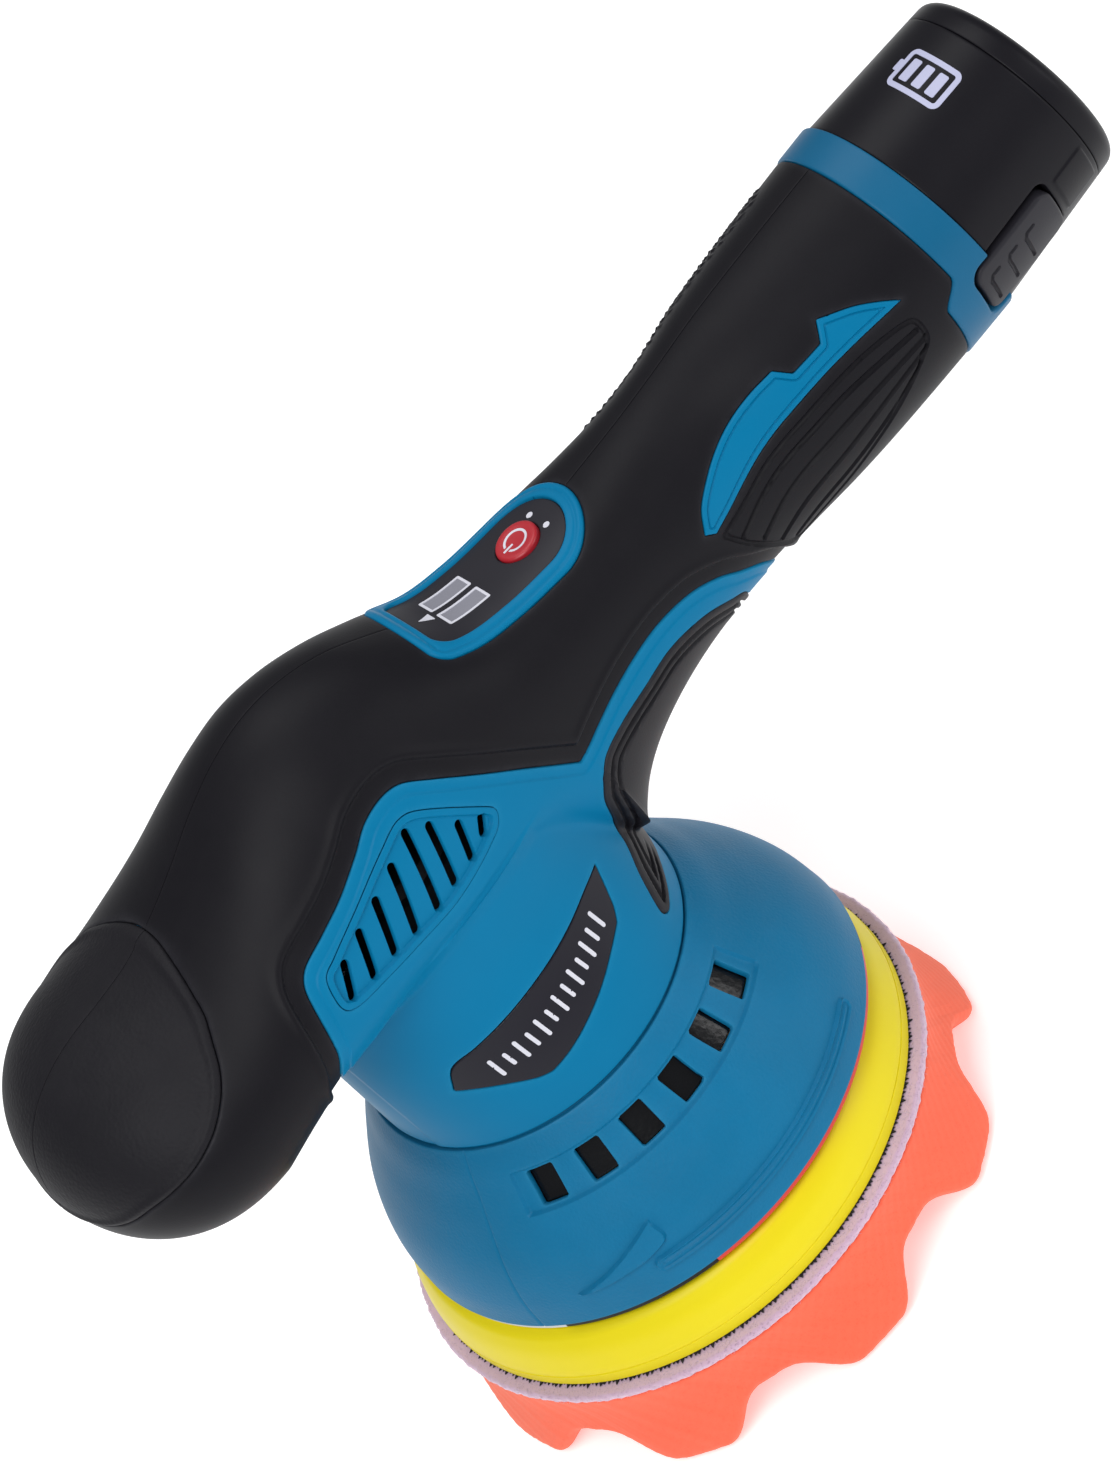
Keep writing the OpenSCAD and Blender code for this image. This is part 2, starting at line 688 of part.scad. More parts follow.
// Case: a drafted drum outside the handle, a three lobed stem and a tongue inside it
module battery_case() {
    color(BLACK) difference() {
        union() {
            translate([handle_end + 0.1, 0, axis_z]) rotate([0, 90, 0])
                cylinder(h = battery_out - 6.1, r1 = battery_r, r2 = battery_r - 1.6, $fn = 120);
            translate([stem_x, 0, axis_z]) hull() at_cells()
                cylinder(h = handle_end + 4 - stem_x, r = cell_r + 1.3, $fn = 40);
            translate([stem_x - 15, -7, axis_z - 4.5]) cube([16, 14, 9]);
        }
        translate([cell_x, 0, axis_z]) hull() at_cells()
            cylinder(h = cell_l + 4, r = cell_r + 0.2, $fn = 40);
        for (y = [-4, 0, 4])
            translate([stem_x - 16, y - 0.8, axis_z - 3.5]) cube([14, 1.6, 7]);
        for (s = [-1, 1]) latch_frame(s) {
            translate([latch_x - 0.4, -latch_w / 2 - 0.4, latch_foot - latch_travel - 0.3])
                cube([latch_l + 0.8, latch_w + 0.8, 12]);
            translate([handle_end - 1, -3.5, latch_foot - latch_travel - 0.3])
                cube([6, 7, 12]);
        }
    }
}

module battery_end_cap() {
    h = 5.9;
    r = battery_r - 1.7;
    color(BLACK) translate([handle_end + battery_out - h, 0, axis_z]) rotate([0, 90, 0])
        rotate_extrude($fn = 120) polygon(concat([[0, h - 1.8], [0, h], [r - 3.4, h]],
            [for (a = [75:-15:0]) [r - 3.4 + 3 * cos(a), h - 3 + 3 * sin(a)]],
            [[r, 0], [20.6, 0], [20.6, h - 1.8]]));
}

module battery_cells() {
    color([0.2, 0.55, 0.35]) translate([cell_x, 0, axis_z]) at_cells()
        cylinder(h = cell_l, r = cell_r - 0.1, $fn = 48);
}

module battery_board() {
    color(BOARD) translate([cell_x + 2, 0, axis_z]) rotate([0, 90, 0])
        cylinder(h = 58, r = 1.2, $fn = 24);
}

// Release button with a tongue that runs forward under the handle collar
module latch(side) {
    color(BLACK) difference() {
        union() {
            intersection() {
                translate([latch_x, 0, axis_z]) rotate([0, 90, 0])
                    cylinder(h = latch_l, r = battery_r + 0.3, $fn = 120);
                latch_frame(side) translate([latch_x, -latch_w / 2, latch_foot])
                    cube([latch_l, latch_w, 10]);
            }
            latch_frame(side) translate([handle_end - 9, -3, latch_foot])
                cube([11, 6, 1.7]);
        }
        latch_frame(side) translate([latch_x + latch_l / 2, 0, latch_foot - 1])
            cylinder(h = 4.2, r = 2.2, $fn = 32);
    }
}

module latch_springs() {
    color(STEEL) for (s = [-1, 1]) latch_frame(s)
        translate([latch_x + latch_l / 2, 0, latch_foot - latch_travel - 0.3]) difference() {
            cylinder(h = 3.2, r = 1.9, $fn = 32);
            translate([0, 0, -1]) cylinder(h = 6, r = 1.4, $fn = 32);
        }
}

shell(-1);  // shell_left
shell(1);  // shell_right
overmould(-1);  // overmould_left
overmould(1);  // overmould_right
nose_grip(-1);  // nose_grip_left
nose_grip(1);  // nose_grip_right
finger_grip();
vent_grille(-1);  // vent_grille_left
vent_grille(1);  // vent_grille_right
label_plate(-1);  // label_plate_left
label_plate(1);  // label_plate_right
flash_insert(-1);  // flash_insert_left
flash_insert(1);  // flash_insert_right
handle_collar();
control_bezel();
control_overlay();
display_windows();
led_lenses();
power_button();
button_spring();
tact_switch();
control_board();
motor_driver_board();
housing_screws();
motor_can();
motor_endcap();
motor_magnets();
motor_bearings();
carbon_brushes();
motor_screws();
armature_core();
armature_windings();
commutator();
motor_shaft();
cooling_fan();
eccentric_hub();
counterweight();
pad_bearing();
hood();
hood_screws();
rim_band_black();
rim_band_red();
rim_band_pale();
spindle();
backing_core();
backing_plate();
hook_layer();
loop_layer();
foam_pad();
terminal_block();
battery_case();
battery_end_cap();
battery_cells();
battery_board();
latch(-1);  // latch_left
latch(1);  // latch_right
latch_springs();
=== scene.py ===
import math
import bpy
import numpy as np
from mathutils import Matrix, Vector
from mathutils.geometry import tessellate_polygon


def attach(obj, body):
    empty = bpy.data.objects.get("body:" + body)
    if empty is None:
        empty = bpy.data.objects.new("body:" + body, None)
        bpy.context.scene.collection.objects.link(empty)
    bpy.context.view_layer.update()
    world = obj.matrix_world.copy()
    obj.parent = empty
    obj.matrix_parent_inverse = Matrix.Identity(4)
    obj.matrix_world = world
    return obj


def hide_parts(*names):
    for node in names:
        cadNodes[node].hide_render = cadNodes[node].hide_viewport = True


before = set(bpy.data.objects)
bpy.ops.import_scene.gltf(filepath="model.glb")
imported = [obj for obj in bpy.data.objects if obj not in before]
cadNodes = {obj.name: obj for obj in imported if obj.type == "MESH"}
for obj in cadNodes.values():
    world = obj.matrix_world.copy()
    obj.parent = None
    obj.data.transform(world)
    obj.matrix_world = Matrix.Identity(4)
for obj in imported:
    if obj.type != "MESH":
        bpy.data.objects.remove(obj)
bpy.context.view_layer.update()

mm = 0.001
axisZ = 127.0      # handle's centre line, mm above the foam's working face
collarZ = 79.0     # joint of the neck and the hood
rimZ = 40.0        # hood's rim
deckZ = 24.0       # hook and loop joint
padShift = -2.6    # the pad's axis against the motor's
tiny = 1e-3        # slack, mm, when a point on a cut line is tested
split = 0.03       # half of the gap between the left and right halves
gap = 0.06         # between an insert and the edge round it
sides = ((-1, "Left", "left"), (1, "Right", "right"))


# curves and outlines

def smoothStep(t):
    # 3t^2 - 2t^3 between 0 and 1
    t = np.clip(t, 0, 1)
    return t * t * (3 - 2 * t)


def cubicShares(s):
    # shares of start, start slope, end and end slope in a cubic Hermite curve, s from 0 to 1
    return 2 * s**3 - 3 * s**2 + 1, s**3 - 2 * s**2 + s, 3 * s**2 - 2 * s**3, s**3 - s**2


def tableCurve(table, column, x):
    # cubic Hermite through the rows, each slope taken between the two neighbouring rows
    knots, values = table[:, 0], table[:, column]
    last = len(knots) - 1
    index = np.arange(last + 1)
    low, high = np.maximum(index - 1, 0), np.minimum(index + 1, last)
    slopes = (values[high] - values[low]) / (knots[high] - knots[low])
    i = np.clip(np.searchsorted(knots, x, side="right") - 1, 0, last - 1)
    h = knots[i + 1] - knots[i]
    start, startSlope, end, endSlope = cubicShares(np.clip((x - knots[i]) / h, 0, 1))
    return (start * values[i] + startSlope * h * slopes[i]
            + end * values[i + 1] + endSlope * h * slopes[i + 1])


def smoothLine(points, corners=(), perSpan=7, closed=True):
    # Catmull-Rom through the points; a corner's neighbours end their curve there
    p = np.array(points, float)
    n = len(p)
    index = np.arange(n)
    before, after = (index - 1) % n, (index + 1) % n
    if not closed:
        before[0], after[-1] = 0, n - 1
    tangent = (p[after] - p[before]) / 2
    cornerSet = np.isin(index, list(corners))
    spans = index if closed else index[:-1]
    a, b = spans, (spans + 1) % n
    chord = p[b] - p[a]
    ta = np.where(cornerSet[a][:, None], chord, tangent[a])
    tb = np.where(cornerSet[b][:, None], chord, tangent[b])
    length = np.linalg.norm(chord, axis=1)[:, None]
    ta *= np.minimum(1, length / np.maximum(np.linalg.norm(ta, axis=1)[:, None], 1e-9))
    tb *= np.minimum(1, length / np.maximum(np.linalg.norm(tb, axis=1)[:, None], 1e-9))
    start, startSlope, end, endSlope = cubicShares((np.arange(perSpan) / perSpan)[None, :, None])
    line = (start * p[a][:, None] + startSlope * ta[:, None]
            + end * p[b][:, None] + endSlope * tb[:, None]).reshape(-1, 2)
    return line if closed else np.vstack([line, p[-1]])


def sideGap(p, a, side):
    # distance to the nearest of the sides that start at a, and the way from each a to each point
    ap = p[:, None] - a[None]
    t = np.clip((ap * side).sum(2) / np.maximum((side**2).sum(1), 1e-12), 0, 1)
    return np.sqrt(((ap - t[..., None] * side) ** 2).sum(2).min(1)), ap


def inBlocks(work, where, rows=8000):
    # does the work on a few thousand points at a time, to keep the arrays small
    return np.concatenate([work(where[k:k + rows]) for k in range(0, len(where), rows)])


def insideDistance(where, outline):
    # distance to the nearest side of a closed outline, positive inside it
    a, b = outline, np.roll(outline, -1, axis=0)
    side = b - a
    run = np.where(side[:, 1] == 0, 1e-12, side[:, 1])

    def block(p):
        near, ap = sideGap(p, a, side)
        above = (a[None, :, 1] > p[:, 1:]) != (b[None, :, 1] > p[:, 1:])
        crossing = a[None, :, 0] + side[None, :, 0] * ap[..., 1] / run
        inside = ((above & (p[:, :1] < crossing)).sum(1) % 2) == 1
        return np.where(inside, near, -near)
    return inBlocks(block, where)


def lineDistance(where, line):
    # distance to the nearest point of an open line
    return inBlocks(lambda p: sideGap(p, line[:-1], line[1:] - line[:-1])[0], where)


# skins: a surface function on a grid, cut along lines of equal field

def gridSkin(uRange, vRange, steps, extra=()):
    # steps = (along u, along v) intervals, with extra rows at given u; two triangles to each cell
    nv = steps[1]
    u = np.unique(np.concatenate([np.linspace(*uRange, steps[0] + 1), extra]))
    nu = len(u) - 1
    v = np.linspace(*vRange, nv + 1)
    q = np.stack(np.meshgrid(u, v, indexing="ij"), -1).reshape(-1, 2)
    i, j = np.meshgrid(np.arange(nu), np.arange(nv), indexing="ij")
    a = (i * (nv + 1) + j).ravel()
    b, c, d = a + nv + 1, a + nv + 2, a + 1
    return {"q": q, "tri": np.concatenate([np.stack([a, b, c], 1), np.stack([a, c, d], 1)])}


def ringCells(rings, count):
    # for each cell between closed rings: its first point and the next one round
    i, j = np.meshgrid(np.arange(rings), np.arange(count), indexing="ij")
    return (i * count + j).ravel(), (i * count + (j + 1) % count).ravel()


def ringSkin(uRange, steps, count):
    # u runs along, the second pair of values is the cosine and sine of the turn; no seam
    u = np.linspace(*uRange, steps + 1)
    angle = 2 * np.pi * np.arange(count) / count
    q = np.stack([np.repeat(u, count), np.tile(np.cos(angle), steps + 1),
                  np.tile(np.sin(angle), steps + 1)], 1)
    a, d = ringCells(steps, count)
    return {"q": q, "tri": np.concatenate([np.stack([a, a + count, d + count], 1),
                                           np.stack([a, d + count, d], 1)])}


def splitSkin(skin, name, level):
    # cuts each triangle that the line field = level crosses; new points lie on that line
    names, field = skin["names"], skin["fields"]
    k = names.index(name)
    v = field[:, k] - level
    v[np.abs(v) < 2e-3] = 0
    sign = np.sign(v)
    tri = skin["tri"]
    s = sign[tri]
    cut = (s.min(1) < 0) & (s.max(1) > 0)
    if not cut.any():
        return
    t, s = tri[cut], s[cut]
    rows = np.arange(len(t))[:, None]
    hasZero = (s == 0).any(1)
    lone = np.where(s.sum(1) > 0, s.argmin(1), s.argmax(1))
    first = np.where(hasZero, (s == 0).argmax(1), lone)
    t = t[rows, (first[:, None] + np.arange(3)) % 3]
    pairs = np.stack([t, np.roll(t, -1, axis=1)], 2)          # edges 01, 12, 20
    wanted = np.where(hasZero[:, None], [[False, True, False]], [[True, False, True]])
    edges = np.sort(pairs[wanted], axis=1)
    unique, back = np.unique(edges, axis=0, return_inverse=True)
    weight = (v[unique[:, 0]] / (v[unique[:, 0]] - v[unique[:, 1]]))[:, None]
    mix = lambda data: data[unique[:, 0]] * (1 - weight) + data[unique[:, 1]] * weight
    newField = mix(field)
    newField[:, k] = level
    base = len(field)
    made = np.full((len(t), 3), -1)
    made[wanted] = base + back.ravel()
    z, m = t[hasZero], made[hasZero]
    two, m2 = t[~hasZero], made[~hasZero]
    skin["tri"] = np.concatenate([
        tri[~cut],
        np.stack([z[:, 0], z[:, 1], m[:, 1]], 1), np.stack([z[:, 0], m[:, 1], z[:, 2]], 1),
        np.stack([two[:, 0], m2[:, 0], m2[:, 2]], 1),
        np.stack([m2[:, 0], two[:, 1], two[:, 2]], 1),
        np.stack([m2[:, 0], two[:, 2], m2[:, 2]], 1)])
    skin["q"] = np.vstack([skin["q"], mix(skin["q"])])
    skin["fields"] = np.vstack([field, newField])


def dropUnused(tri, *arrays):
    used, back = np.unique(tri, return_inverse=True)
    return (back.reshape(tri.shape), *[a[used] for a in arrays])


def dropFlat(tri):
    # leaves out triangles that use one point twice
    a, b, c = tri.T
    return tri[(a != b) & (b != c) & (a != c)]


def pointNormals(points, tri):
    # sum of the neighbouring triangles' normals, weighted by their areas
    face = np.cross(points[tri[:, 1]] - points[tri[:, 0]], points[tri[:, 2]] - points[tri[:, 0]])
    total = np.stack([sum(np.bincount(tri[:, c], face[:, a], len(points)) for c in range(3))
                      for a in range(3)], 1)
    return total / np.maximum(np.linalg.norm(total, axis=1), 1e-12)[:, None]


def closeSkin(top, under, tri):
    # joins a skin to its underside with a wall along each open edge
    n = len(top)
    edges = np.concatenate([tri[:, [0, 1]], tri[:, [1, 2]], tri[:, [2, 0]]])
    key = np.sort(edges, axis=1) @ np.array([n, 1])
    _, back, count = np.unique(key, return_inverse=True, return_counts=True)
    a, b = edges[count[back.ravel()] == 1].T
    wall = np.concatenate([np.stack([b, a, a + n], 1), np.stack([b, a + n, b + n], 1)])
    return np.vstack([top, under]), np.concatenate([tri, tri[:, ::-1] + n, wall])


def cutSkin(skin, surface, fields, cuts, keep):
    # evaluates the fields, cuts along the wanted lines and keeps the wanted triangles
    points = surface(skin["q"])
    table = fields(points, skin["q"])
    skin["names"] = list(table)
    skin["fields"] = np.stack([np.asarray(table[n], float) for n in skin["names"]], 1)
    for name, levels in cuts.items():
        for level in levels:
            splitSkin(skin, name, level)
    asTable = lambda: {n: skin["fields"][:, i] for i, n in enumerate(skin["names"])}
    good = keep(asTable())
    skin["tri"] = skin["tri"][good[skin["tri"]].all(1)]
    skin["tri"], skin["q"], skin["fields"] = dropUnused(skin["tri"], skin["q"], skin["fields"])
    return surface(skin["q"]), asTable()


def solidSkin(skin, surface, fields, cuts, keep, relief, depth, flip=False):
    # a closed wall: the cut skin moved out by its relief, and its underside depth mm lower
    points, table = cutSkin(skin, surface, fields, cuts, keep)
    tri = skin["tri"][:, ::-1] if flip else skin["tri"]
    normals = pointNormals(points, tri)
    rise = np.broadcast_to(relief(table, points), (len(points),))
    top = points + normals * rise[:, None]
    under = points - normals * depth
    allPoints, allTri = closeSkin(top, under, tri)
    wear = np.zeros(len(allPoints))
    if "edge" in table:
        wear[:len(points)] = np.exp(-np.maximum(table["edge"], 0) / 0.5)
    return allPoints, allTri, wear


def within(t, *names, level=0.0):
    # true where every named field is at or above the level
    return np.minimum.reduce([t[n] for n in names]) > level - tiny


def roundedEdge(distance, radius):
    # quarter circle: falls from 0 at distance = radius to -radius at the edge
    d = np.clip(distance, 0, radius)
    return np.sqrt(np.maximum(radius**2 - (radius - d) ** 2, 0)) - radius


def groove(distance, width, depth):
    # V with a round foot along distance = 0
    return -depth * np.maximum(1 - (distance / (width / 2)) ** 2, 0)


def joinSolids(parts):
    # one mesh from several (points, triangles, wear) sets
    starts = np.cumsum([0] + [len(p[0]) for p in parts[:-1]])
    return (np.vstack([p[0] for p in parts]),
            np.concatenate([p[1] + s for p, s in zip(parts, starts)]),
            np.concatenate([p[2] if len(p) > 2 else np.zeros(len(p[0])) for p in parts]))


def addPiece(name, solid, body, material, replaces=(), sharpAngle=40):
    # makes the object in metres at the origin, smooth shaded with sharp creases
    points, tri = solid[0], solid[1]
    mesh = bpy.data.meshes.new(name)
    mesh.vertices.add(len(points))
    mesh.vertices.foreach_set("co", (points * mm).astype(np.float32).ravel())
    mesh.loops.add(len(tri) * 3)
    mesh.loops.foreach_set("vertex_index", tri.astype(np.int32).ravel())
    mesh.polygons.add(len(tri))
    mesh.polygons.foreach_set("loop_start", np.arange(0, len(tri) * 3, 3, dtype=np.int32))
    mesh.update(calc_edges=True)
    mesh.validate()
    if len(solid) > 2:
        wear = mesh.attributes.new("wear", "FLOAT", "POINT")
        wear.data.foreach_set("value", solid[2].astype(np.float32))
    mesh.shade_smooth()
    mesh.set_sharp_from_angle(angle=math.radians(sharpAngle))
    piece = bpy.data.objects.new(name, mesh)
    bpy.context.scene.collection.objects.link(piece)
    mesh.materials.append(material)
    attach(piece, body)
    if replaces:
        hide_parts(*replaces)
    return piece


def lathe(profile, count=180, centre=(0, 0), start=0.0, span=360.0):
    # a closed outline of (radius, z) points turned about a vertical axis; poles share a point
    profile = np.array(profile, float)
    full = span >= 359.9
    n = len(profile)
    steps = count if full else count + 1
    angle = np.radians(start + span * np.arange(steps) / count)
    ring = np.stack([np.outer(np.cos(angle), profile[:, 0]) + centre[0],
                     np.outer(np.sin(angle), profile[:, 0]) + centre[1],
                     np.tile(profile[:, 1], (steps, 1))], -1).reshape(-1, 3)
    i, j = np.meshgrid(np.arange(count), np.arange(n), indexing="ij")
    i2, j2 = (i + 1) % steps if full else i + 1, (j + 1) % n
    a, b, c, d = [(x * n + y).ravel() for x, y in ((i, j), (i2, j), (i2, j2), (i, j2))]
    tri = np.concatenate([np.stack([a, b, c], 1), np.stack([a, c, d], 1)])
    merged = np.arange(len(ring))
    pole = np.tile(profile[:, 0] < 1e-6, steps)
    merged[pole] = np.tile(np.arange(n), steps)[pole]
    tri = merged[tri]
    if not full:
        cap = earClip(profile)
        tri = np.concatenate([tri, cap[:, ::-1], cap + count * n])
    tri, ring = dropUnused(dropFlat(tri), ring)
    a, b, c = ring[tri.T]
    volume = np.einsum("ij,ij->i", a, np.cross(b, c)).sum()
    return ring, (tri if volume > 0 else tri[:, ::-1]), np.zeros(len(ring))


def earClip(outline):
    # fills a flat outline with triangles
    return np.array(tessellate_polygon([[Vector((*p, 0)) for p in outline]]))


def roundCorners(points, radii, steps=5):
    # replaces each corner of a closed outline by an arc of its own radius
    p = np.array(points, float)
    out = []
    for k, radius in enumerate(radii):
        a, b, c = p[k - 1], p[k], p[(k + 1) % len(p)]
        if radius <= 0:
            out.append(b[None])
            continue
        u, w = (a - b) / np.linalg.norm(a - b), (c - b) / np.linalg.norm(c - b)
        half = math.acos(max(-1, min(1, float(u @ w)))) / 2
        reach = radius / math.tan(half)
        centre = b + (u + w) / np.linalg.norm(u + w) * radius / math.sin(half)
        s, e = b + u * reach - centre, b + w * reach - centre
        turn = math.atan2(s[0] * e[1] - s[1] * e[0], float(s @ e))
        angle = turn * np.arange(steps + 1) / steps
        out.append(centre + np.stack([s[0] * np.cos(angle) - s[1] * np.sin(angle),
                                      s[0] * np.sin(angle) + s[1] * np.cos(angle)], 1))
    return np.vstack(out)


# the body: nose, hump and handle, with a round neck below

body = {
    # x, top above the handle's centre line, widest level, half width, squareness above
    "stations": np.array([
        [-60, 31.5, 7, 38, 2], [-50, 32.3, 7.5, 37.8, 2], [-40, 35, 7.5, 36.8, 2],
        [-30, 39, 6, 35.3, 2], [-20, 43.6, 4.5, 33.5, 2], [-10, 47, 3, 32.2, 2],
        [0, 48.4, 2, 31.6, 2], [10, 47.2, 1, 30.2, 2], [20, 43.2, 0.5, 28, 2.1],
        [30, 36.4, 0, 25.8, 2.4], [40, 28.8, -0.4, 24, 2.8], [50, 25.4, -0.7, 22.8, 3],
        [60, 23.9, -1, 22, 3], [70, 23.4, -1.1, 21.2, 2.8], [80, 23.5, -1.3, 20.4, 2.4],
        [92, 23.7, -1.5, 19.9, 2.1], [104, 24.4, -1.4, 20.2, 2], [118, 25.6, -1, 23, 2],
        [132, 26.1, -0.6, 24.6, 2], [150, 26.4, -0.2, 25.8, 2], [166, 26.5, 0, 26.3, 2]], float),
    "noseFloor": np.array([[-60, -15.5], [-50, -12.5], [-40, -11], [-30, -11], [40, -11]], float),
    "gripFloor": np.array([[78, -24.5], [90, -25], [104, -26], [118, -26.4], [132, -26.6],
                           [166, -26.4]], float),
    "noseX": -60.0, "noseTip": 32.8, "noseLine": 52.0,
    "filletX": 78.7, "filletRun": 40.0, "filletRise": 23.5,
    "neckRadius": 38.8, "neckPinch": 7.6, "neckPinchHeight": 36.0, "neckTop": 47.0,
    "handleEnd": 163.8, "blend": 3.0,
}
lineEnd = body["noseLine"] + body["handleEnd"] - body["noseX"]


def bodySection(x):
    # top, widest level, half width, squareness and floor of the body at x, z from the foam's face
    inner = np.maximum(x, body["noseX"])
    t = np.clip((body["noseX"] - x) / body["noseTip"], 0, 1)
    narrow = np.sqrt(1 - t**2.2)
    low = np.sqrt(1 - t**2.6)
    top, level, half, square = [tableCurve(body["stations"], c, inner) for c in (1, 2, 3, 4)]
    run = np.clip((body["filletX"] - inner) / body["filletRun"], 0, 1)
    start = body["filletX"] - body["filletRun"]
    fillet = np.where(inner < start, collarZ + 2 * (start - inner),
                      collarZ + body["filletRise"] * np.sqrt(1 - run**2))
    nose = axisZ + tableCurve(body["noseFloor"], 1, inner)
    grip = axisZ + tableCurve(body["gripFloor"], 1, inner)
    floor = np.where(inner > body["filletX"], grip, np.minimum(nose, fillet))
    middle = axisZ + level
    return middle, (axisZ + top - middle) * low, (middle - floor) * low, half * narrow, square


def neckHalf(z):
    return body["neckRadius"] - body["neckPinch"] * smoothStep((z - collarZ) / body["neckPinchHeight"])


def neckWidthAt(x, z):
    # half width of the neck column in a side view; it fades out inside the body
    fade = 1 - smoothStep((z - axisZ + 1) / 5)
    return neckHalf(z) * np.sqrt(np.clip(1 - (x / body["neckRadius"]) ** 2, 0, 1)) * fade


def keelNarrow(x, z):
    # the grip's underside narrows where it runs down into the neck's foot
    return 1 - 0.72 * smoothStep((x - 33) / 5) * (1 - smoothStep((z - collarZ - 2) / 15))


def podWidthAt(x, z):
    # half width of the nose, hump and handle in a side view, 0 outside them
    middle, up, down, half, square = bodySection(x)
    level = np.clip(np.where(z > middle, (z - middle) / up, (middle - z) / down), 0, 1)
    power = np.where(z > middle, square, 2.0)
    return half * (1 - level**power) ** (1 / power) * keelNarrow(x, z)


def joinedWidth(a, b):
    # the larger of two half widths, with a small fillet where they are equal
    soft = body["blend"] * smoothStep(np.minimum(a, b) / 8) + 1e-6
    return np.maximum(a, b) + np.maximum(soft - np.abs(a - b), 0) ** 2 / (4 * soft)


def podSurface(side):
    # q = (length along the body, angle from the bottom over the side to the top)
    def surface(q):
        s, angle = q[:, 0], q[:, 1]
        turn = np.clip(s / body["noseLine"], 0, 1) * np.pi / 2
        x = np.where(s < body["noseLine"], body["noseX"] - body["noseTip"] * np.cos(turn),
                     body["noseX"] + s - body["noseLine"])
        middle, up, down, half, square = bodySection(x)
        below = angle < np.pi / 2
        a = np.where(below, np.pi / 2, angle) - np.pi / 2
        power = (np.abs(np.cos(a)) ** square + np.abs(np.sin(a)) ** square) ** (-1 / square)
        lowTurn = np.clip(angle, 0, np.pi / 2)
        z = np.where(below, middle - down * np.cos(lowTurn), middle + up * np.sin(a) * power)
        y = np.where(below, half * np.sin(lowTurn) * keelNarrow(x, z), half * np.cos(a) * power)
        y = np.where(below, joinedWidth(np.maximum(y, 0), neckWidthAt(x, z)), np.maximum(y, 0))
        return np.stack([x, side * y, z], 1)
    return surface


def neckSurface(side):
    # q = (height, angle from the front round to the back)
    def surface(q):
        z, angle = q[:, 0], q[:, 1]
        x = -body["neckRadius"] * np.cos(angle)
        y = joinedWidth(neckHalf(z) * np.sin(angle), podWidthAt(x, z))
        return np.stack([x, side * y, z], 1)
    return surface


def podSkin(side, uRange, vRange, steps, fields, cuts, keep, relief, depth, extra=()):
    return solidSkin(gridSkin(uRange, vRange, steps, extra), podSurface(side), fields, cuts, keep,
                     relief, depth, flip=side > 0)


def neckSkin(side, uRange, vRange, steps, fields, cuts, keep, relief, depth):
    return solidSkin(gridSkin(uRange, vRange, steps), neckSurface(side), fields, cuts, keep,
                     relief, depth, flip=side < 0)


# rows crowd where the body's floor turns down into the neck
floorTurn = body["filletX"] - body["filletRun"] - body["noseX"] + body["noseLine"]
steepRows = floorTurn + 7 * np.linspace(0, 1, 22) ** 2

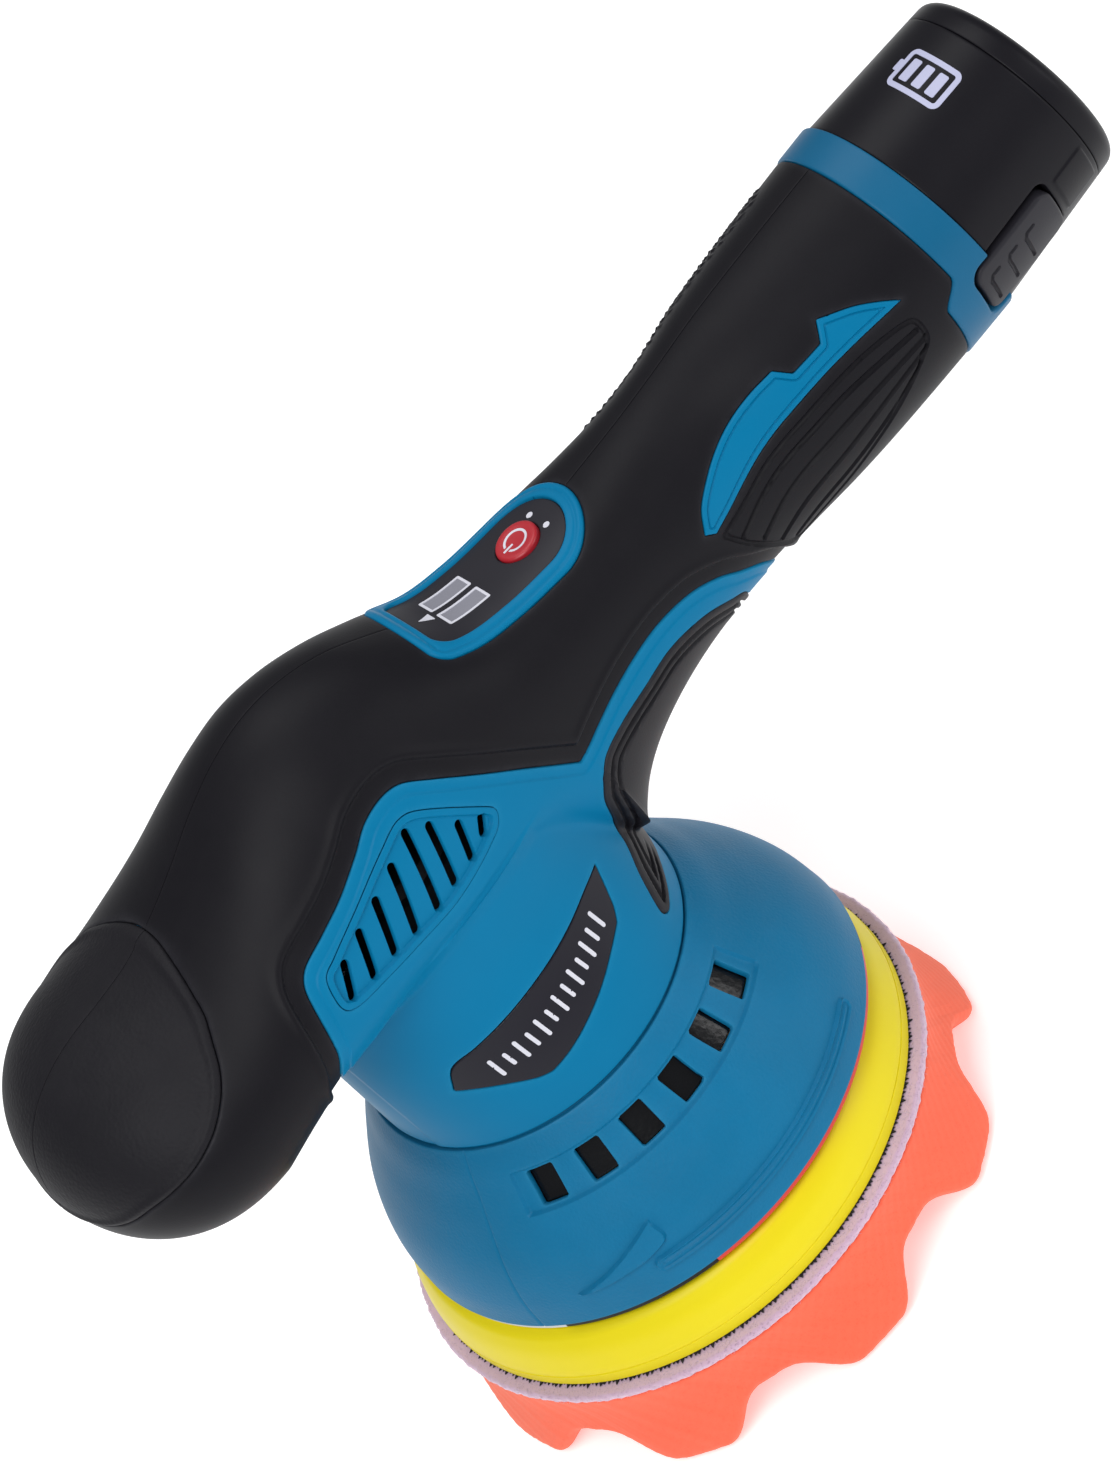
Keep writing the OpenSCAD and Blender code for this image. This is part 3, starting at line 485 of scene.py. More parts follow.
# side outlines: x, height above the handle's centre line
outlines = {
    "flank": smoothLine([
        [-38.9, -62], [-39.6, -20], [-40.3, 0], [-37.7, 6.8], [-34.6, 15.9], [-32.5, 20.1], [-29.5, 22],
        [-22.7, 22.9], [-15, 24.2], [-7.3, 26.6], [-1.4, 28.9], [4.4, 29.2], [9.2, 27.6], [14, 22.9],
        [19.8, 16.3], [27.8, 6.9], [36.6, -4.4], [40, -4], [44, -3], [51.8, -1.2], [59.7, -0.1],
        [67.6, -0.1], [75.7, -2], [81.9, -5.6], [86.2, -10], [92.1, -16.9], [97, -30], [95, -62]],
        corners=(0, 16, 27)),
    "finger": smoothLine([
        [86, -22], [84.6, -16.3], [81.7, -13.6], [76.2, -9.5], [70, -7], [64, -6], [56.1, -6.7],
        [48.1, -7.3], [41.2, -8.7], [37.3, -11.6], [34.6, -16.2], [33.4, -24], [32.4, -29.3],
        [29, -33.8], [26.1, -40.5], [27.2, -42.7], [30, -42.6], [37, -40.5], [40.5, -41.5],
        [50, -62], [92, -62]],
        corners=(9, 17, 18, 19, 20)),
    "vent": smoothLine([
        [-30.8, 13.3], [-28.7, 17.9], [-24.8, 18.9], [-14, 21], [-3.5, 23.6], [2.3, 24.6], [6.1, 23.4],
        [11, 18.3], [16.8, 10.6], [17.8, 8.2], [15.9, 5.9], [11.9, 5], [4, 4.2], [-3.7, 4.2],
        [-15, 5.8], [-27, 8.7], [-30.4, 10.6]]),
    "flash": smoothLine([
        [85.9, 4.2], [87.8, 2.4], [93.3, 3.5], [106.9, 6.8], [114.5, 8.1], [124.1, 8.7], [133.8, 8.4],
        [145.4, 7.4], [141.6, 10.8], [137.7, 13.5], [131.4, 16.4], [128.4, 13.1], [120.6, 13],
        [118.2, 15.9], [112.7, 15.7], [107, 14.9], [101.1, 13.5], [95.2, 11.4], [89.3, 8.3]],
        corners=(0, 1, 7, 10, 11, 12, 13)),
    "cap": smoothLine([
        [-40.5, 60], [-42.3, 34.4], [-44.3, 32.6], [-46.9, 29.7], [-48.7, 27.5], [-51.9, 24.8],
        [-55.1, 22], [-59.1, 19.5], [-64.9, 17], [-72.5, 14.5], [-78, 12.9], [-83.5, 10.9],
        [-90.6, 6.4], [-105, 0], [-112, 60]], corners=(0, 1, 13, 14)),
    "label": smoothLine([
        [-27.8, -31.3], [-24.7, -26], [-18.8, -24.8], [-11.2, -23.8], [-3.6, -23], [4.2, -22.4],
        [11.4, -21.9], [18.3, -21.5], [24.2, -21.9], [20.4, -28.6], [18.2, -30.9], [13.1, -32.2],
        [6, -34.3], [-1.9, -36.4], [-7.7, -37.8], [-12.5, -38.6], [-15.3, -37.8], [-20.9, -34.8]],
        corners=(0, 8, 10, 15)),
    "ribs": smoothLine([
        [88.6, 0.6], [91.5, -6], [97.9, -16.2], [101.5, -19.6], [108, -18.4], [119.5, -15],
        [132, -10.4], [143, -4.2], [144.4, -1], [143.6, 3], [134, 5.3], [124, 5.8], [114, 5.2],
        [105, 3.9], [97, 2]], corners=(0,)),
}
slots = {
    "low": [(-27.6, 11.2), (-21.7, 9.6), (-15.7, 8.5), (-9.9, 7.3), (-3.7, 6.5), (2.1, 6.7),
            (8, 6.8), (13.1, 7.6)],
    "high": [(-24.1, 16.2), (-17.7, 17.2), (-11, 18.2), (-4.2, 19.8), (2.6, 21.6), (6.8, 18.3),
             (10.9, 13.2), (14.9, 9.6)],
    "radius": 0.95,
}
ribLines = [smoothLine(p, closed=False) for p in (
    [[91, -3.4], [100, -0.4], [111, 1.7], [125, 2.5], [143.4, 0.4]],
    [[94, -8.4], [103, -5.2], [114, -3.1], [127, -2.3], [144, -2.4]],
    [[97, -13.4], [106, -10.6], [118, -8.2], [131, -6.1], [143, -4.6]],
    [[100, -17.6], [109, -15.2], [120, -12.6], [131, -9.7], [140, -6.6]])]
panel = {"x": 62.0, "bezel": 14.5, "bezelBack": 29.5, "overlay": 10.8, "overlayBack": 26.7,
         "windows": [[40.6, -5.9], [40.6, 0.9]], "windowSize": [9.4, 5.0], "leds": [[68, 3], [68, -3]],
         "button": 4.9, "corner": 3.0}


def boxField(x, y, low, high, corner):
    # inside distance of a rectangle with round corners
    cx, cy = (low[0] + high[0]) / 2, (low[1] + high[1]) / 2
    dx = np.abs(x - cx) - (high[0] - low[0]) / 2 + corner
    dy = np.abs(y - cy) - (high[1] - low[1]) / 2 + corner
    return corner - np.hypot(np.maximum(dx, 0), np.maximum(dy, 0)) - np.minimum(np.maximum(dx, dy), 0)


def stadium(x, y, radius, back):
    # inside distance of the panel's outline: round at the grip, square at the hump
    dx = x - panel["x"]
    straight = np.minimum(radius - np.abs(y), dx + back)
    corner = panel["corner"]
    inX, inY = corner - (dx + back), corner - (radius - np.abs(y))
    rounded = np.where((inX > 0) & (inY > 0), corner - np.hypot(inX, inY), straight)
    return np.where(dx > 0, radius - np.hypot(dx, y), rounded)


def collarField(points):
    # inside distance of the teal collar on the handle's end: wider on its lower half
    x, z = points[:, 0], points[:, 2] - axisZ
    left = 155.4 - 5 * smoothStep((2.5 - z) / 5.5)
    return x - left


# screws enter from the far side: x, height above the handle's centre line
screwPlaces = [(-76, 6), (-44, -1), (0, 38), (26, -18), (88, -4)]
wellRadius = 3.0


def wellField(points):
    # distance outside the nearest screw well, on the far half only
    near = np.minimum.reduce([np.hypot(points[:, 0] - x, points[:, 2] - axisZ - z)
                              for x, z in screwPlaces])
    return np.where(points[:, 1] > 0.5, near - wellRadius, 30)


def sideView(points):
    # x and height above the handle's centre line
    return points[:, [0, 2]] - [0, axisZ]


def sideFields(*names):
    # inside distances of the named outlines
    def fields(points, q):
        return {n: insideDistance(sideView(points), outlines[n]) for n in names}
    return fields


print("body surfaces ready")


# finishes: shared effects as node groups, one material for each finish

def nodeGroup(name, inputs, outputs):
    # an empty group with float inputs (name, value) and float outputs
    group = bpy.data.node_groups.new(name, "ShaderNodeTree")
    for label, value in inputs:
        socket = group.interface.new_socket(label, in_out="INPUT", socket_type="NodeSocketFloat")
        socket.default_value = value
    for label in outputs:
        group.interface.new_socket(label, in_out="OUTPUT", socket_type="NodeSocketFloat")
    return group, group.nodes.new("NodeGroupInput"), group.nodes.new("NodeGroupOutput")


def setOrLink(tree, socket, value):
    # a plain value is set on the socket, another node's socket is linked to it
    if isinstance(value, (int, float, list)):
        socket.default_value = value
    else:
        tree.links.new(value, socket)


def mathNode(tree, operation, a, b=None, clamp=False):
    node = tree.nodes.new("ShaderNodeMath")
    node.operation = operation
    node.use_clamp = clamp
    for k, value in enumerate((a, b)):
        if value is not None:
            setOrLink(tree, node.inputs[k], value)
    return node.outputs[0]


def noiseNode(tree, vector, scale, detail=3.0, rough=0.55):
    node = tree.nodes.new("ShaderNodeTexNoise")
    tree.links.new(vector, node.inputs["Vector"])
    setOrLink(tree, node.inputs["Scale"], scale)
    node.inputs["Detail"].default_value = detail
    node.inputs["Roughness"].default_value = rough
    return node.outputs["Fac"]


def buildGrain():
    # moulded grain: fine cells on a soft unevenness, as a height and a tone about 0.5
    group, inside, outside = nodeGroup("mouldedGrain", [("Scale", 2200), ("Amount", 1)],
                                       ["Height", "Tone"])
    place = group.nodes.new("ShaderNodeTexCoord").outputs["Object"]
    fine = noiseNode(group, place, inside.outputs["Scale"], 2.0, 0.6)
    cells = group.nodes.new("ShaderNodeTexVoronoi")
    group.links.new(place, cells.inputs["Vector"])
    group.links.new(inside.outputs["Scale"], cells.inputs["Scale"])
    broad = noiseNode(group, place, 55.0, 2.0)
    both = mathNode(group, "ADD", mathNode(group, "MULTIPLY", fine, 0.6),
                    mathNode(group, "MULTIPLY", cells.outputs["Distance"], 0.5))
    group.links.new(mathNode(group, "MULTIPLY", both, inside.outputs["Amount"]), outside.inputs["Height"])
    group.links.new(mathNode(group, "ADD", mathNode(group, "MULTIPLY", broad, 0.7),
                             mathNode(group, "MULTIPLY", fine, 0.3)), outside.inputs["Tone"])
    return group


def buildWear():
    # rubbed edges: the mesh's own wear value, broken up by noise
    group, inside, outside = nodeGroup("rubbedEdge", [("Amount", 0.5), ("Scale", 300)],
                                       ["Mask"])
    edge = group.nodes.new("ShaderNodeAttribute")
    edge.attribute_name = "wear"
    place = group.nodes.new("ShaderNodeTexCoord").outputs["Object"]
    breakUp = noiseNode(group, place, inside.outputs["Scale"], 3.0, 0.6)
    mask = mathNode(group, "MULTIPLY", edge.outputs["Fac"], breakUp)
    group.links.new(mathNode(group, "MULTIPLY", mask, inside.outputs["Amount"], clamp=True),
                    outside.inputs["Mask"])
    return group


def buildDust():
    # thin dust that settles on faces turned upwards
    group, inside, outside = nodeGroup("settledDust", [("Amount", 0.1), ("Scale", 180)],
                                       ["Mask"])
    facing = group.nodes.new("ShaderNodeNewGeometry").outputs["Normal"]
    split = group.nodes.new("ShaderNodeSeparateXYZ")
    group.links.new(facing, split.inputs[0])
    place = group.nodes.new("ShaderNodeTexCoord").outputs["Object"]
    patches = noiseNode(group, place, inside.outputs["Scale"], 4.0, 0.65)
    up = mathNode(group, "MULTIPLY", mathNode(group, "MAXIMUM", split.outputs["Z"], 0.0), patches)
    group.links.new(mathNode(group, "MULTIPLY", up, inside.outputs["Amount"], clamp=True),
                    outside.inputs["Mask"])
    return group


def buildPores():
    # open cells of foam: pits where two sizes of cell overlap, as a height and a mask of where painted shade
    # darkens the pits
    group, inside, outside = nodeGroup("openPores", [("Scale", 1500), ("Amount", 1)],
                                       ["Height", "Mask"])
    place = group.nodes.new("ShaderNodeTexCoord").outputs["Object"]
    pits = []
    for factor in (1.0, 0.45):
        cells = group.nodes.new("ShaderNodeTexVoronoi")
        group.links.new(place, cells.inputs["Vector"])
        group.links.new(mathNode(group, "MULTIPLY", inside.outputs["Scale"], factor),
                        cells.inputs["Scale"])
        away = mathNode(group, "MULTIPLY", cells.outputs["Distance"], 2.1)
        pit = mathNode(group, "SUBTRACT", 1.0, away, clamp=True)
        pits.append(mathNode(group, "POWER", pit, 2.0))
    broken = noiseNode(group, place, 420.0, 3.0)
    both = mathNode(group, "ADD", pits[0], mathNode(group, "MULTIPLY", pits[1], broken), clamp=True)
    mask = mathNode(group, "MULTIPLY", both, inside.outputs["Amount"], clamp=True)
    group.links.new(mask, outside.inputs["Mask"])
    group.links.new(mathNode(group, "SUBTRACT", 1.0, mask), outside.inputs["Height"])
    return group


grainGroup, wearGroup, dustGroup, poreGroup = buildGrain(), buildWear(), buildDust(), buildPores()


def toLinear(color):
    # 0 to 255 display values to linear light
    c = np.array(color, float) / 255
    return [*np.where(c <= 0.04045, c / 12.92, ((c + 0.055) / 1.055) ** 2.4), 1.0]


def mixColor(tree, mask, a, b):
    node = tree.nodes.new("ShaderNodeMix")
    node.data_type = "RGBA"
    node.blend_type = "MIX"
    for socket, value in zip((node.inputs[0], node.inputs[6], node.inputs[7]), (mask, a, b)):
        setOrLink(tree, socket, value)
    return node.outputs[2]


def scaled(color, factor, lift=0.0):
    # a linear colour made lighter or darker, still opaque
    return [min(1, c * factor + lift) for c in color[:3]] + [1.0]


def placeGroup(tree, group, **values):
    node = tree.nodes.new("ShaderNodeGroup")
    node.node_tree = group
    for label, value in values.items():
        node.inputs[label].default_value = value
    return node


def newMaterial(name):
    material = bpy.data.materials.new(name)
    material.use_nodes = True
    return material, material.node_tree, material.node_tree.nodes["Principled BSDF"]


def addBump(tree, shader, height, strength, distance):
    # distance in mm
    node = tree.nodes.new("ShaderNodeBump")
    node.inputs["Strength"].default_value = strength
    node.inputs["Distance"].default_value = distance * mm
    tree.links.new(height, node.inputs["Height"])
    tree.links.new(node.outputs["Normal"], shader.inputs["Normal"])


dustColor = [0.5, 0.49, 0.47, 1.0]
roughSpread = 0.12


def makeMaterial(name, color, rough, grain=2200, bump=(0.1, 0.02), tone=0.12, wear=0.0,
                 wearColor=None, dust=0.0, specular=None, **fixed):
    # a plastic or metal: its colour shifts with the grain's tone, worn edges and settled dust
    material, tree, shader = newMaterial(name)
    grainNode = placeGroup(tree, grainGroup, Scale=grain, Amount=1.0)
    base = toLinear(color)
    shade = mixColor(tree, grainNode.outputs["Tone"], scaled(base, 1 - tone), scaled(base, 1 + tone))
    if wear:
        worn = placeGroup(tree, wearGroup, Amount=wear)
        target = toLinear(wearColor) if wearColor else scaled(base, 1.8, 0.02)
        shade = mixColor(tree, worn.outputs["Mask"], shade, target)
    if dust:
        film = placeGroup(tree, dustGroup, Amount=dust)
        shade = mixColor(tree, film.outputs["Mask"], shade, dustColor)
    tree.links.new(shade, shader.inputs["Base Color"])
    spread = tree.nodes.new("ShaderNodeMapRange")
    tree.links.new(grainNode.outputs["Tone"], spread.inputs["Value"])
    spread.inputs["To Min"].default_value = rough * (1 - roughSpread)
    spread.inputs["To Max"].default_value = min(1, rough * (1 + roughSpread))
    tree.links.new(spread.outputs["Result"], shader.inputs["Roughness"])
    addBump(tree, shader, grainNode.outputs["Height"], *bump)
    if specular is not None:
        shader.inputs["Specular IOR Level"].default_value = specular
    for label, value in fixed.items():
        shader.inputs[label.replace("_", " ")].default_value = value
    return material


wornTeal, wornGrey = (60, 160, 200), (70, 70, 76)
looks = {
    # colour, roughness, grain's scale, bump's strength and depth in mm, spread of tone, the rest
    "tealSatin": ((0, 110, 153), 0.42, 2600, (0.12, 0.05), 0.06,
                  {"wear": 0.25, "wearColor": wornTeal, "dust": 0.015, "specular": 0.07}),
    "tealGrain": ((0, 105, 147), 0.48, 1500, (0.55, 0.16), 0.16,
                  {"wear": 0.25, "wearColor": wornTeal, "dust": 0.03, "specular": 0.15}),
    "tealRing": ((0, 90, 128), 0.46, 2200, (0.2, 0.06), 0.08,
                 {"wear": 0.3, "wearColor": wornTeal, "dust": 0.015, "specular": 0.2}),
    "rubber": ((18, 17, 22), 0.5, 2400, (0.2, 0.08), 0.12,
               {"wear": 0.5, "wearColor": wornGrey, "dust": 0.006, "specular": 0.12}),
    "noseRubber": ((22, 21, 26), 0.6, 1100, (0.55, 0.2), 0.22,
                   {"wear": 0.5, "wearColor": wornGrey, "dust": 0.01, "specular": 0.16}),
    "fingerRubber": ((22, 21, 26), 0.5, 2000, (0.25, 0.08), 0.12,
                     {"wear": 0.6, "wearColor": wornGrey, "specular": 0.18}),
    "labelBlack": ((26, 25, 34), 0.35, 3000, (0.05, 0.02), 0.08,
                   {"wear": 0.5, "wearColor": (90, 92, 100), "specular": 0.2}),
    "batteryBlack": ((21, 20, 25), 0.4, 2600, (0.2, 0.06), 0.1,
                     {"wear": 0.5, "wearColor": (70, 70, 78), "dust": 0.004, "specular": 0.12}),
    "latchBlack": ((36, 35, 41), 0.5, 2000, (0.2, 0.06), 0.1,
                   {"wear": 0.5, "wearColor": (96, 96, 104), "specular": 0.22}),
    "overlayBlack": ((38, 37, 43), 0.45, 3000, (0.1, 0.03), 0.1, {"specular": 0.2}),
    "buttonRed": ((168, 28, 40), 0.4, 3000, (0.1, 0.03), 0.1,
                  {"wear": 0.3, "wearColor": (220, 120, 120)}),
    "markWhite": ((206, 206, 216), 0.5, 3000, (0.1, 0.02), 0.08, {}),
    "markLilac": ((176, 178, 206), 0.5, 2200, (0.1, 0.02), 0.14, {}),
    "displayGrey": ((128, 128, 138), 0.38, 2600, (0.1, 0.03), 0.2, {}),
    # painted shade: the glossy dark sheet behind the hood's windows
    "filmBlack": ((10, 11, 14), 0.2, 900, (0.2, 0.2), 0.3, {"specular": 0.35}),
    "polyurethane": ((228, 210, 10), 0.42, 900, (0.08, 0.05), 0.03,
                     {"dust": 0.01, "specular": 0.25, "Subsurface_Weight": 0.08,
                      "Subsurface_Radius": (0.004, 0.003, 0.001)}),
    "bandBlack": ((16, 16, 18), 0.45, 2200, (0.1, 0.02), 0.12, {"specular": 0.2}),
    "bandRed": ((205, 42, 20), 0.4, 2200, (0.1, 0.02), 0.12, {}),
    "bandPale": ((200, 202, 208), 0.4, 2200, (0.1, 0.02), 0.12, {}),
    "hookBlack": ((24, 22, 26), 0.8, 1200, (0.6, 0.3), 0.4, {}),
    "steel": ((176, 178, 182), 0.32, 700, (0.1, 0.02), 0.1, {"Metallic": 1.0}),
    "copper": ((190, 112, 70), 0.36, 900, (0.3, 0.05), 0.15, {"Metallic": 1.0}),
    "magnet": ((60, 60, 64), 0.6, 900, (0.3, 0.06), 0.15, {}),
    "brassWeight": ((176, 148, 84), 0.38, 800, (0.2, 0.04), 0.12, {"Metallic": 1.0}),
    "pcbGreen": ((20, 84, 48), 0.38, 500, (0.3, 0.06), 0.25, {}),
    "plainPlastic": ((38, 38, 42), 0.5, 1800, (0.2, 0.06), 0.1, {}),
    "cellWrap": ((42, 128, 86), 0.35, 600, (0.1, 0.03), 0.06, {}),
    "fanGrey": ((44, 44, 48), 0.45, 1500, (0.2, 0.05), 0.1, {}),
}
finish = {name: makeMaterial(name, *main, **rest) for name, (*main, rest) in looks.items()}


def makeSoft(name, color, poreShadeColor, outlineSheenColor, scale, bump, sheen, rim, pores):
    # foam or felt: painted shade darkens the colour in the pores and between fibre ends, and a painted sheen
    # makes its outline paler
    material, tree, shader = newMaterial(name)
    pits = placeGroup(tree, poreGroup, Scale=scale, Amount=pores)
    grainNode = placeGroup(tree, grainGroup, Scale=scale * 0.8, Amount=1.0)
    base = toLinear(color)
    shade = mixColor(tree, grainNode.outputs["Tone"], scaled(base, 0.9), scaled(base, 1.1))
    # painted shade: a darker colour in the pores
    shade = mixColor(tree, pits.outputs["Mask"], shade, toLinear(poreShadeColor))
    # painted sheen: a paler colour where the surface turns away from the view
    facing = tree.nodes.new("ShaderNodeLayerWeight")
    facing.inputs["Blend"].default_value = rim
    shade = mixColor(tree, facing.outputs["Facing"], shade, toLinear(outlineSheenColor))
    tree.links.new(shade, shader.inputs["Base Color"])
    for label, value in {"Roughness": 0.95, "Specular IOR Level": 0.1, "Sheen Weight": sheen,
                         "Sheen Roughness": 0.6}.items():
        shader.inputs[label].default_value = value
    addBump(tree, shader, pits.outputs["Height"], *bump)
    return material


# the second colour is painted shade in the pores, the third a painted sheen at the outline
finish["foam"] = makeSoft("foam", (255, 104, 76), (226, 74, 52), (255, 150, 126), 1500,
                          (0.6, 0.3), 0.03, 0.2, 0.4)
finish["felt"] = makeSoft("felt", (198, 166, 188), (164, 128, 152), (228, 206, 224), 2100,
                          (0.8, 0.4), 0.3, 0.35, 0.7)
print("finishes ready:", len(finish))


# skins of the body

def graphField(where, line):
    # signed distance to a line that runs along x, shortened past its two ends
    x, z = where[:, 0], where[:, 1]
    level = np.interp(x, line[:, 0], line[:, 1])
    slope = np.interp(x, line[:, 0], np.gradient(line[:, 1], line[:, 0]))
    past = np.maximum(line[0, 0] - x, 0) + np.maximum(x - line[-1, 0], 0)
    return (z - level) / np.sqrt(1 + slope**2), past


overmould = {"steps": (310, 128), "strip": 3.9, "stripDepth": 0.85, "ribDepth": 0.75, "ribWidth": 1.5,
             "depth": 1.6, "lip": 0.3, "pebbleRise": 0.45, "pebblePitch": 1.7, "pebbleArc": 0.42}


def overmouldFields(points, q):
    table = sideFields("flank", "cap", "flash", "ribs")(points, q)
    for k, line in enumerate(ribLines):
        table[f"rib{k}"], table[f"past{k}"] = graphField(sideView(points), line)
    table["bezel"] = np.where(points[:, 2] > axisZ + 5,
                              stadium(points[:, 0], points[:, 1], panel["bezel"], panel["bezelBack"]),
                              -30)
    table["collar"] = collarField(points)
    table["seam"] = np.abs(points[:, 1])
    table["well"] = wellField(points)
    return table


def overmouldEdge(t):
    outside = [-t[n] - gap for n in ("flank", "cap", "flash", "bezel", "collar")]
    return np.minimum.reduce(outside + [t["well"]])


def overmouldKeep(t):
    return (overmouldEdge(t) > -tiny) & within(t, "seam", level=split)


def overmouldRelief(t, points):
    outside = -t["flank"]
    strip = -overmould["stripDepth"] * (1 - smoothStep((outside - overmould["strip"] + 0.35) / 0.7))
    edge = t["edge"] = overmouldEdge(t)
    height = strip + roundedEdge(edge, 0.45) + roundedEdge(t["seam"] - split, 0.22)
    lip = overmould["lip"] * np.exp(-((outside - overmould["strip"] - 1.0) / 0.8) ** 2)
    ribs = np.zeros(len(points))
    for k in range(len(ribLines)):
        near = np.abs(t[f"rib{k}"]) + 2 * t[f"past{k}"]
        ribs = np.minimum(ribs, groove(near, overmould["ribWidth"], overmould["ribDepth"]))
    ribs = np.where(t["ribs"] > -0.5, ribs, 0) + groove(t["ribs"], 1.3, 0.55)
    # rows of small domes along the far side's top edge
    x, y, z = points.T
    arc = np.degrees(np.arctan2(z - axisZ, y)) * overmould["pebbleArc"]
    area = boxField(x, arc, (88, 13.0), (149, 29.0), 5)
    pitch = overmould["pebblePitch"]
    domes = np.cos(np.pi * x / pitch) * np.cos(np.pi * arc / pitch + np.pi * 0.5)
    pebbles = overmould["pebbleRise"] * np.maximum(domes, 0) * smoothStep(area / 1.5) * (y > 0)
    return height + lip + ribs + pebbles


overmouldCuts = {name: [-0.06, -0.2, -0.5] for name in ("cap", "flash", "bezel", "collar")}
overmouldCuts = {"flank": [-0.06, -0.2, -0.5, -3.5, -3.8, -4.1, -4.5, -5.2], **overmouldCuts,
                 "seam": [split, 0.12, 0.25], "well": [0, 0.15, 0.4],
                 "ribs": [-0.65, -0.3, 0, 0.3, 0.65],
                 **{f"rib{k}": [-0.75, -0.35, 0, 0.35, 0.75] for k in range(len(ribLines))}}

for side, label, spot in sides:
    solid = podSkin(side, (0, lineEnd), (0, np.pi), overmould["steps"], overmouldFields,
                    overmouldCuts, overmouldKeep, overmouldRelief, overmould["depth"])
    addPiece(f"overmould{label}", solid, "housing", finish["rubber"],
             [f"overmould_{spot}"])
print("overmould made")

cap = {"steps": (120, 120), "depth": 1.6, "lip": 0.45}


def capFields(points, q):
    return {**sideFields("cap")(points, q), "seam": np.abs(points[:, 1])}


def capKeep(t):
    return within(t, "cap") & within(t, "seam", level=split)


def capRelief(t, points):
    return (roundedEdge(np.minimum(t["cap"], 2), 0.5) + roundedEdge(t["seam"] - split, 0.22)
            + cap["lip"] * np.exp(-((t["cap"] - 1.0) / 0.7) ** 2))


capCuts = {"cap": [0, 0.12, 0.3, 0.6, 1.0, 1.5, 2.2], "seam": [split, 0.12, 0.25]}
for side, label, spot in sides:
    solid = podSkin(side, (0, 75), (0.35, np.pi), cap["steps"], capFields, capCuts, capKeep,
                    capRelief, cap["depth"])
    addPiece(f"noseCap{label}", solid, "housing", finish["noseRubber"],
             [f"nose_grip_{spot}"])
print("nose cap made")

flank = {"sink": -0.5, "borderStep": 2.3, "borderRise": 0.3, "depth": 2.3, "foot": 0.1,
         "share": 0.14, "linerReach": 4, "linerSink": -1.75, "linerDepth": 3.4}


def flankFields(points, q):
    table = sideFields("flank", "finger", "vent", "label")(points, q)
    x, z = points[:, 0], points[:, 2]
    # the pod's skin is kept where its share is above the neck's; both run a little past that line
    table["share"] = podWidthAt(x, z) - neckWidthAt(x, z)
    table["height"] = z - collarZ
    table["seam"] = np.abs(points[:, 1])
    table["well"] = wellField(points)
    return table


def flankRelief(t, points):
    outside = [-t[n] - gap for n in ("finger", "vent", "label")]
    edge = t["edge"] = np.minimum.reduce([t["flank"], t["well"]] + outside)
    rise = flank["borderRise"] * smoothStep((t["flank"] - flank["borderStep"] + 0.25) / 0.5)
    foot = roundedEdge(t["height"] - flank["foot"], 0.5)
    return (flank["sink"] + rise + roundedEdge(edge, 0.3) + foot
            + roundedEdge(t["seam"] - split, 0.15))


flankCuts = {"flank": [0, 0.1, 0.3, 2.0, 2.2, 2.4, 2.6],
             **{name: [-0.06, -0.16, -0.36] for name in ("finger", "vent", "label")},
             "height": [0.1, 0.3, 0.6], "seam": [split, 0.1, 0.2], "well": [0, 0.12, 0.3]}


def openFlank(t):
    outside = np.maximum.reduce([t["finger"], t["vent"], t["label"]]) < tiny - gap
    return (within(t, "flank", "well") & outside & within(t, "height", level=flank["foot"])
            & within(t, "seam", level=split))


def podShare(t):
    return t["share"] > -flank["share"] - tiny


def neckShare(t):
    return t["share"] < flank["share"] + tiny


def linerFields(points, q):
    # the liner runs under the overmould, up to a little inside the flank
    return {**sideFields("flank")(points, q), "seam": np.abs(points[:, 1]), "well": wellField(points)}


def linerKeep(t):
    return ((t["flank"] < flank["linerReach"] + tiny) & within(t, "seam", level=split)
            & within(t, "well"))


for side, label, spot in sides:
    pod = podSkin(side, (64, 216), (0, 2.5), (178, 112), flankFields,
                  {**flankCuts, "share": [-flank["share"]]}, lambda t: openFlank(t) & podShare(t),
                  flankRelief, flank["depth"], steepRows)
    neck = neckSkin(side, (collarZ, axisZ + 4), (0, np.pi), (64, 130), flankFields,
                    {**flankCuts, "share": [flank["share"]]}, lambda t: openFlank(t) & neckShare(t),
                    flankRelief, flank["depth"])
    liner = podSkin(side, (0, lineEnd - 9), (0, np.pi), (130, 50), linerFields,
                    {"flank": [flank["linerReach"]], "seam": [split], "well": [0]}, linerKeep,
                    lambda t, p: flank["linerSink"], flank["linerDepth"])
    addPiece(f"shell{label}", joinSolids([pod, neck, liner]), "housing", finish["tealSatin"],
             [f"shell_{spot}"])
print("shells made")

# inserts in the flanks

fingerRest = {"lift": 0.15, "grooves": (2.1, 4.0), "width": 1.1, "groove": 0.7, "depth": 1.5}


def fingerRelief(t, points):
    lines = sum(groove(t["finger"] - d, fingerRest["width"], fingerRest["groove"])
                for d in fingerRest["grooves"])
    t["edge"] = t["finger"]
    # grooves and edge fade out across the front of the neck's foot
    front = smoothStep((points[:, 0] - 33) / 3) * smoothStep((axisZ - 31 - points[:, 2]) / 5)
    return fingerRest["lift"] + (roundedEdge(t["finger"], 0.6) + lines) * (1 - front)


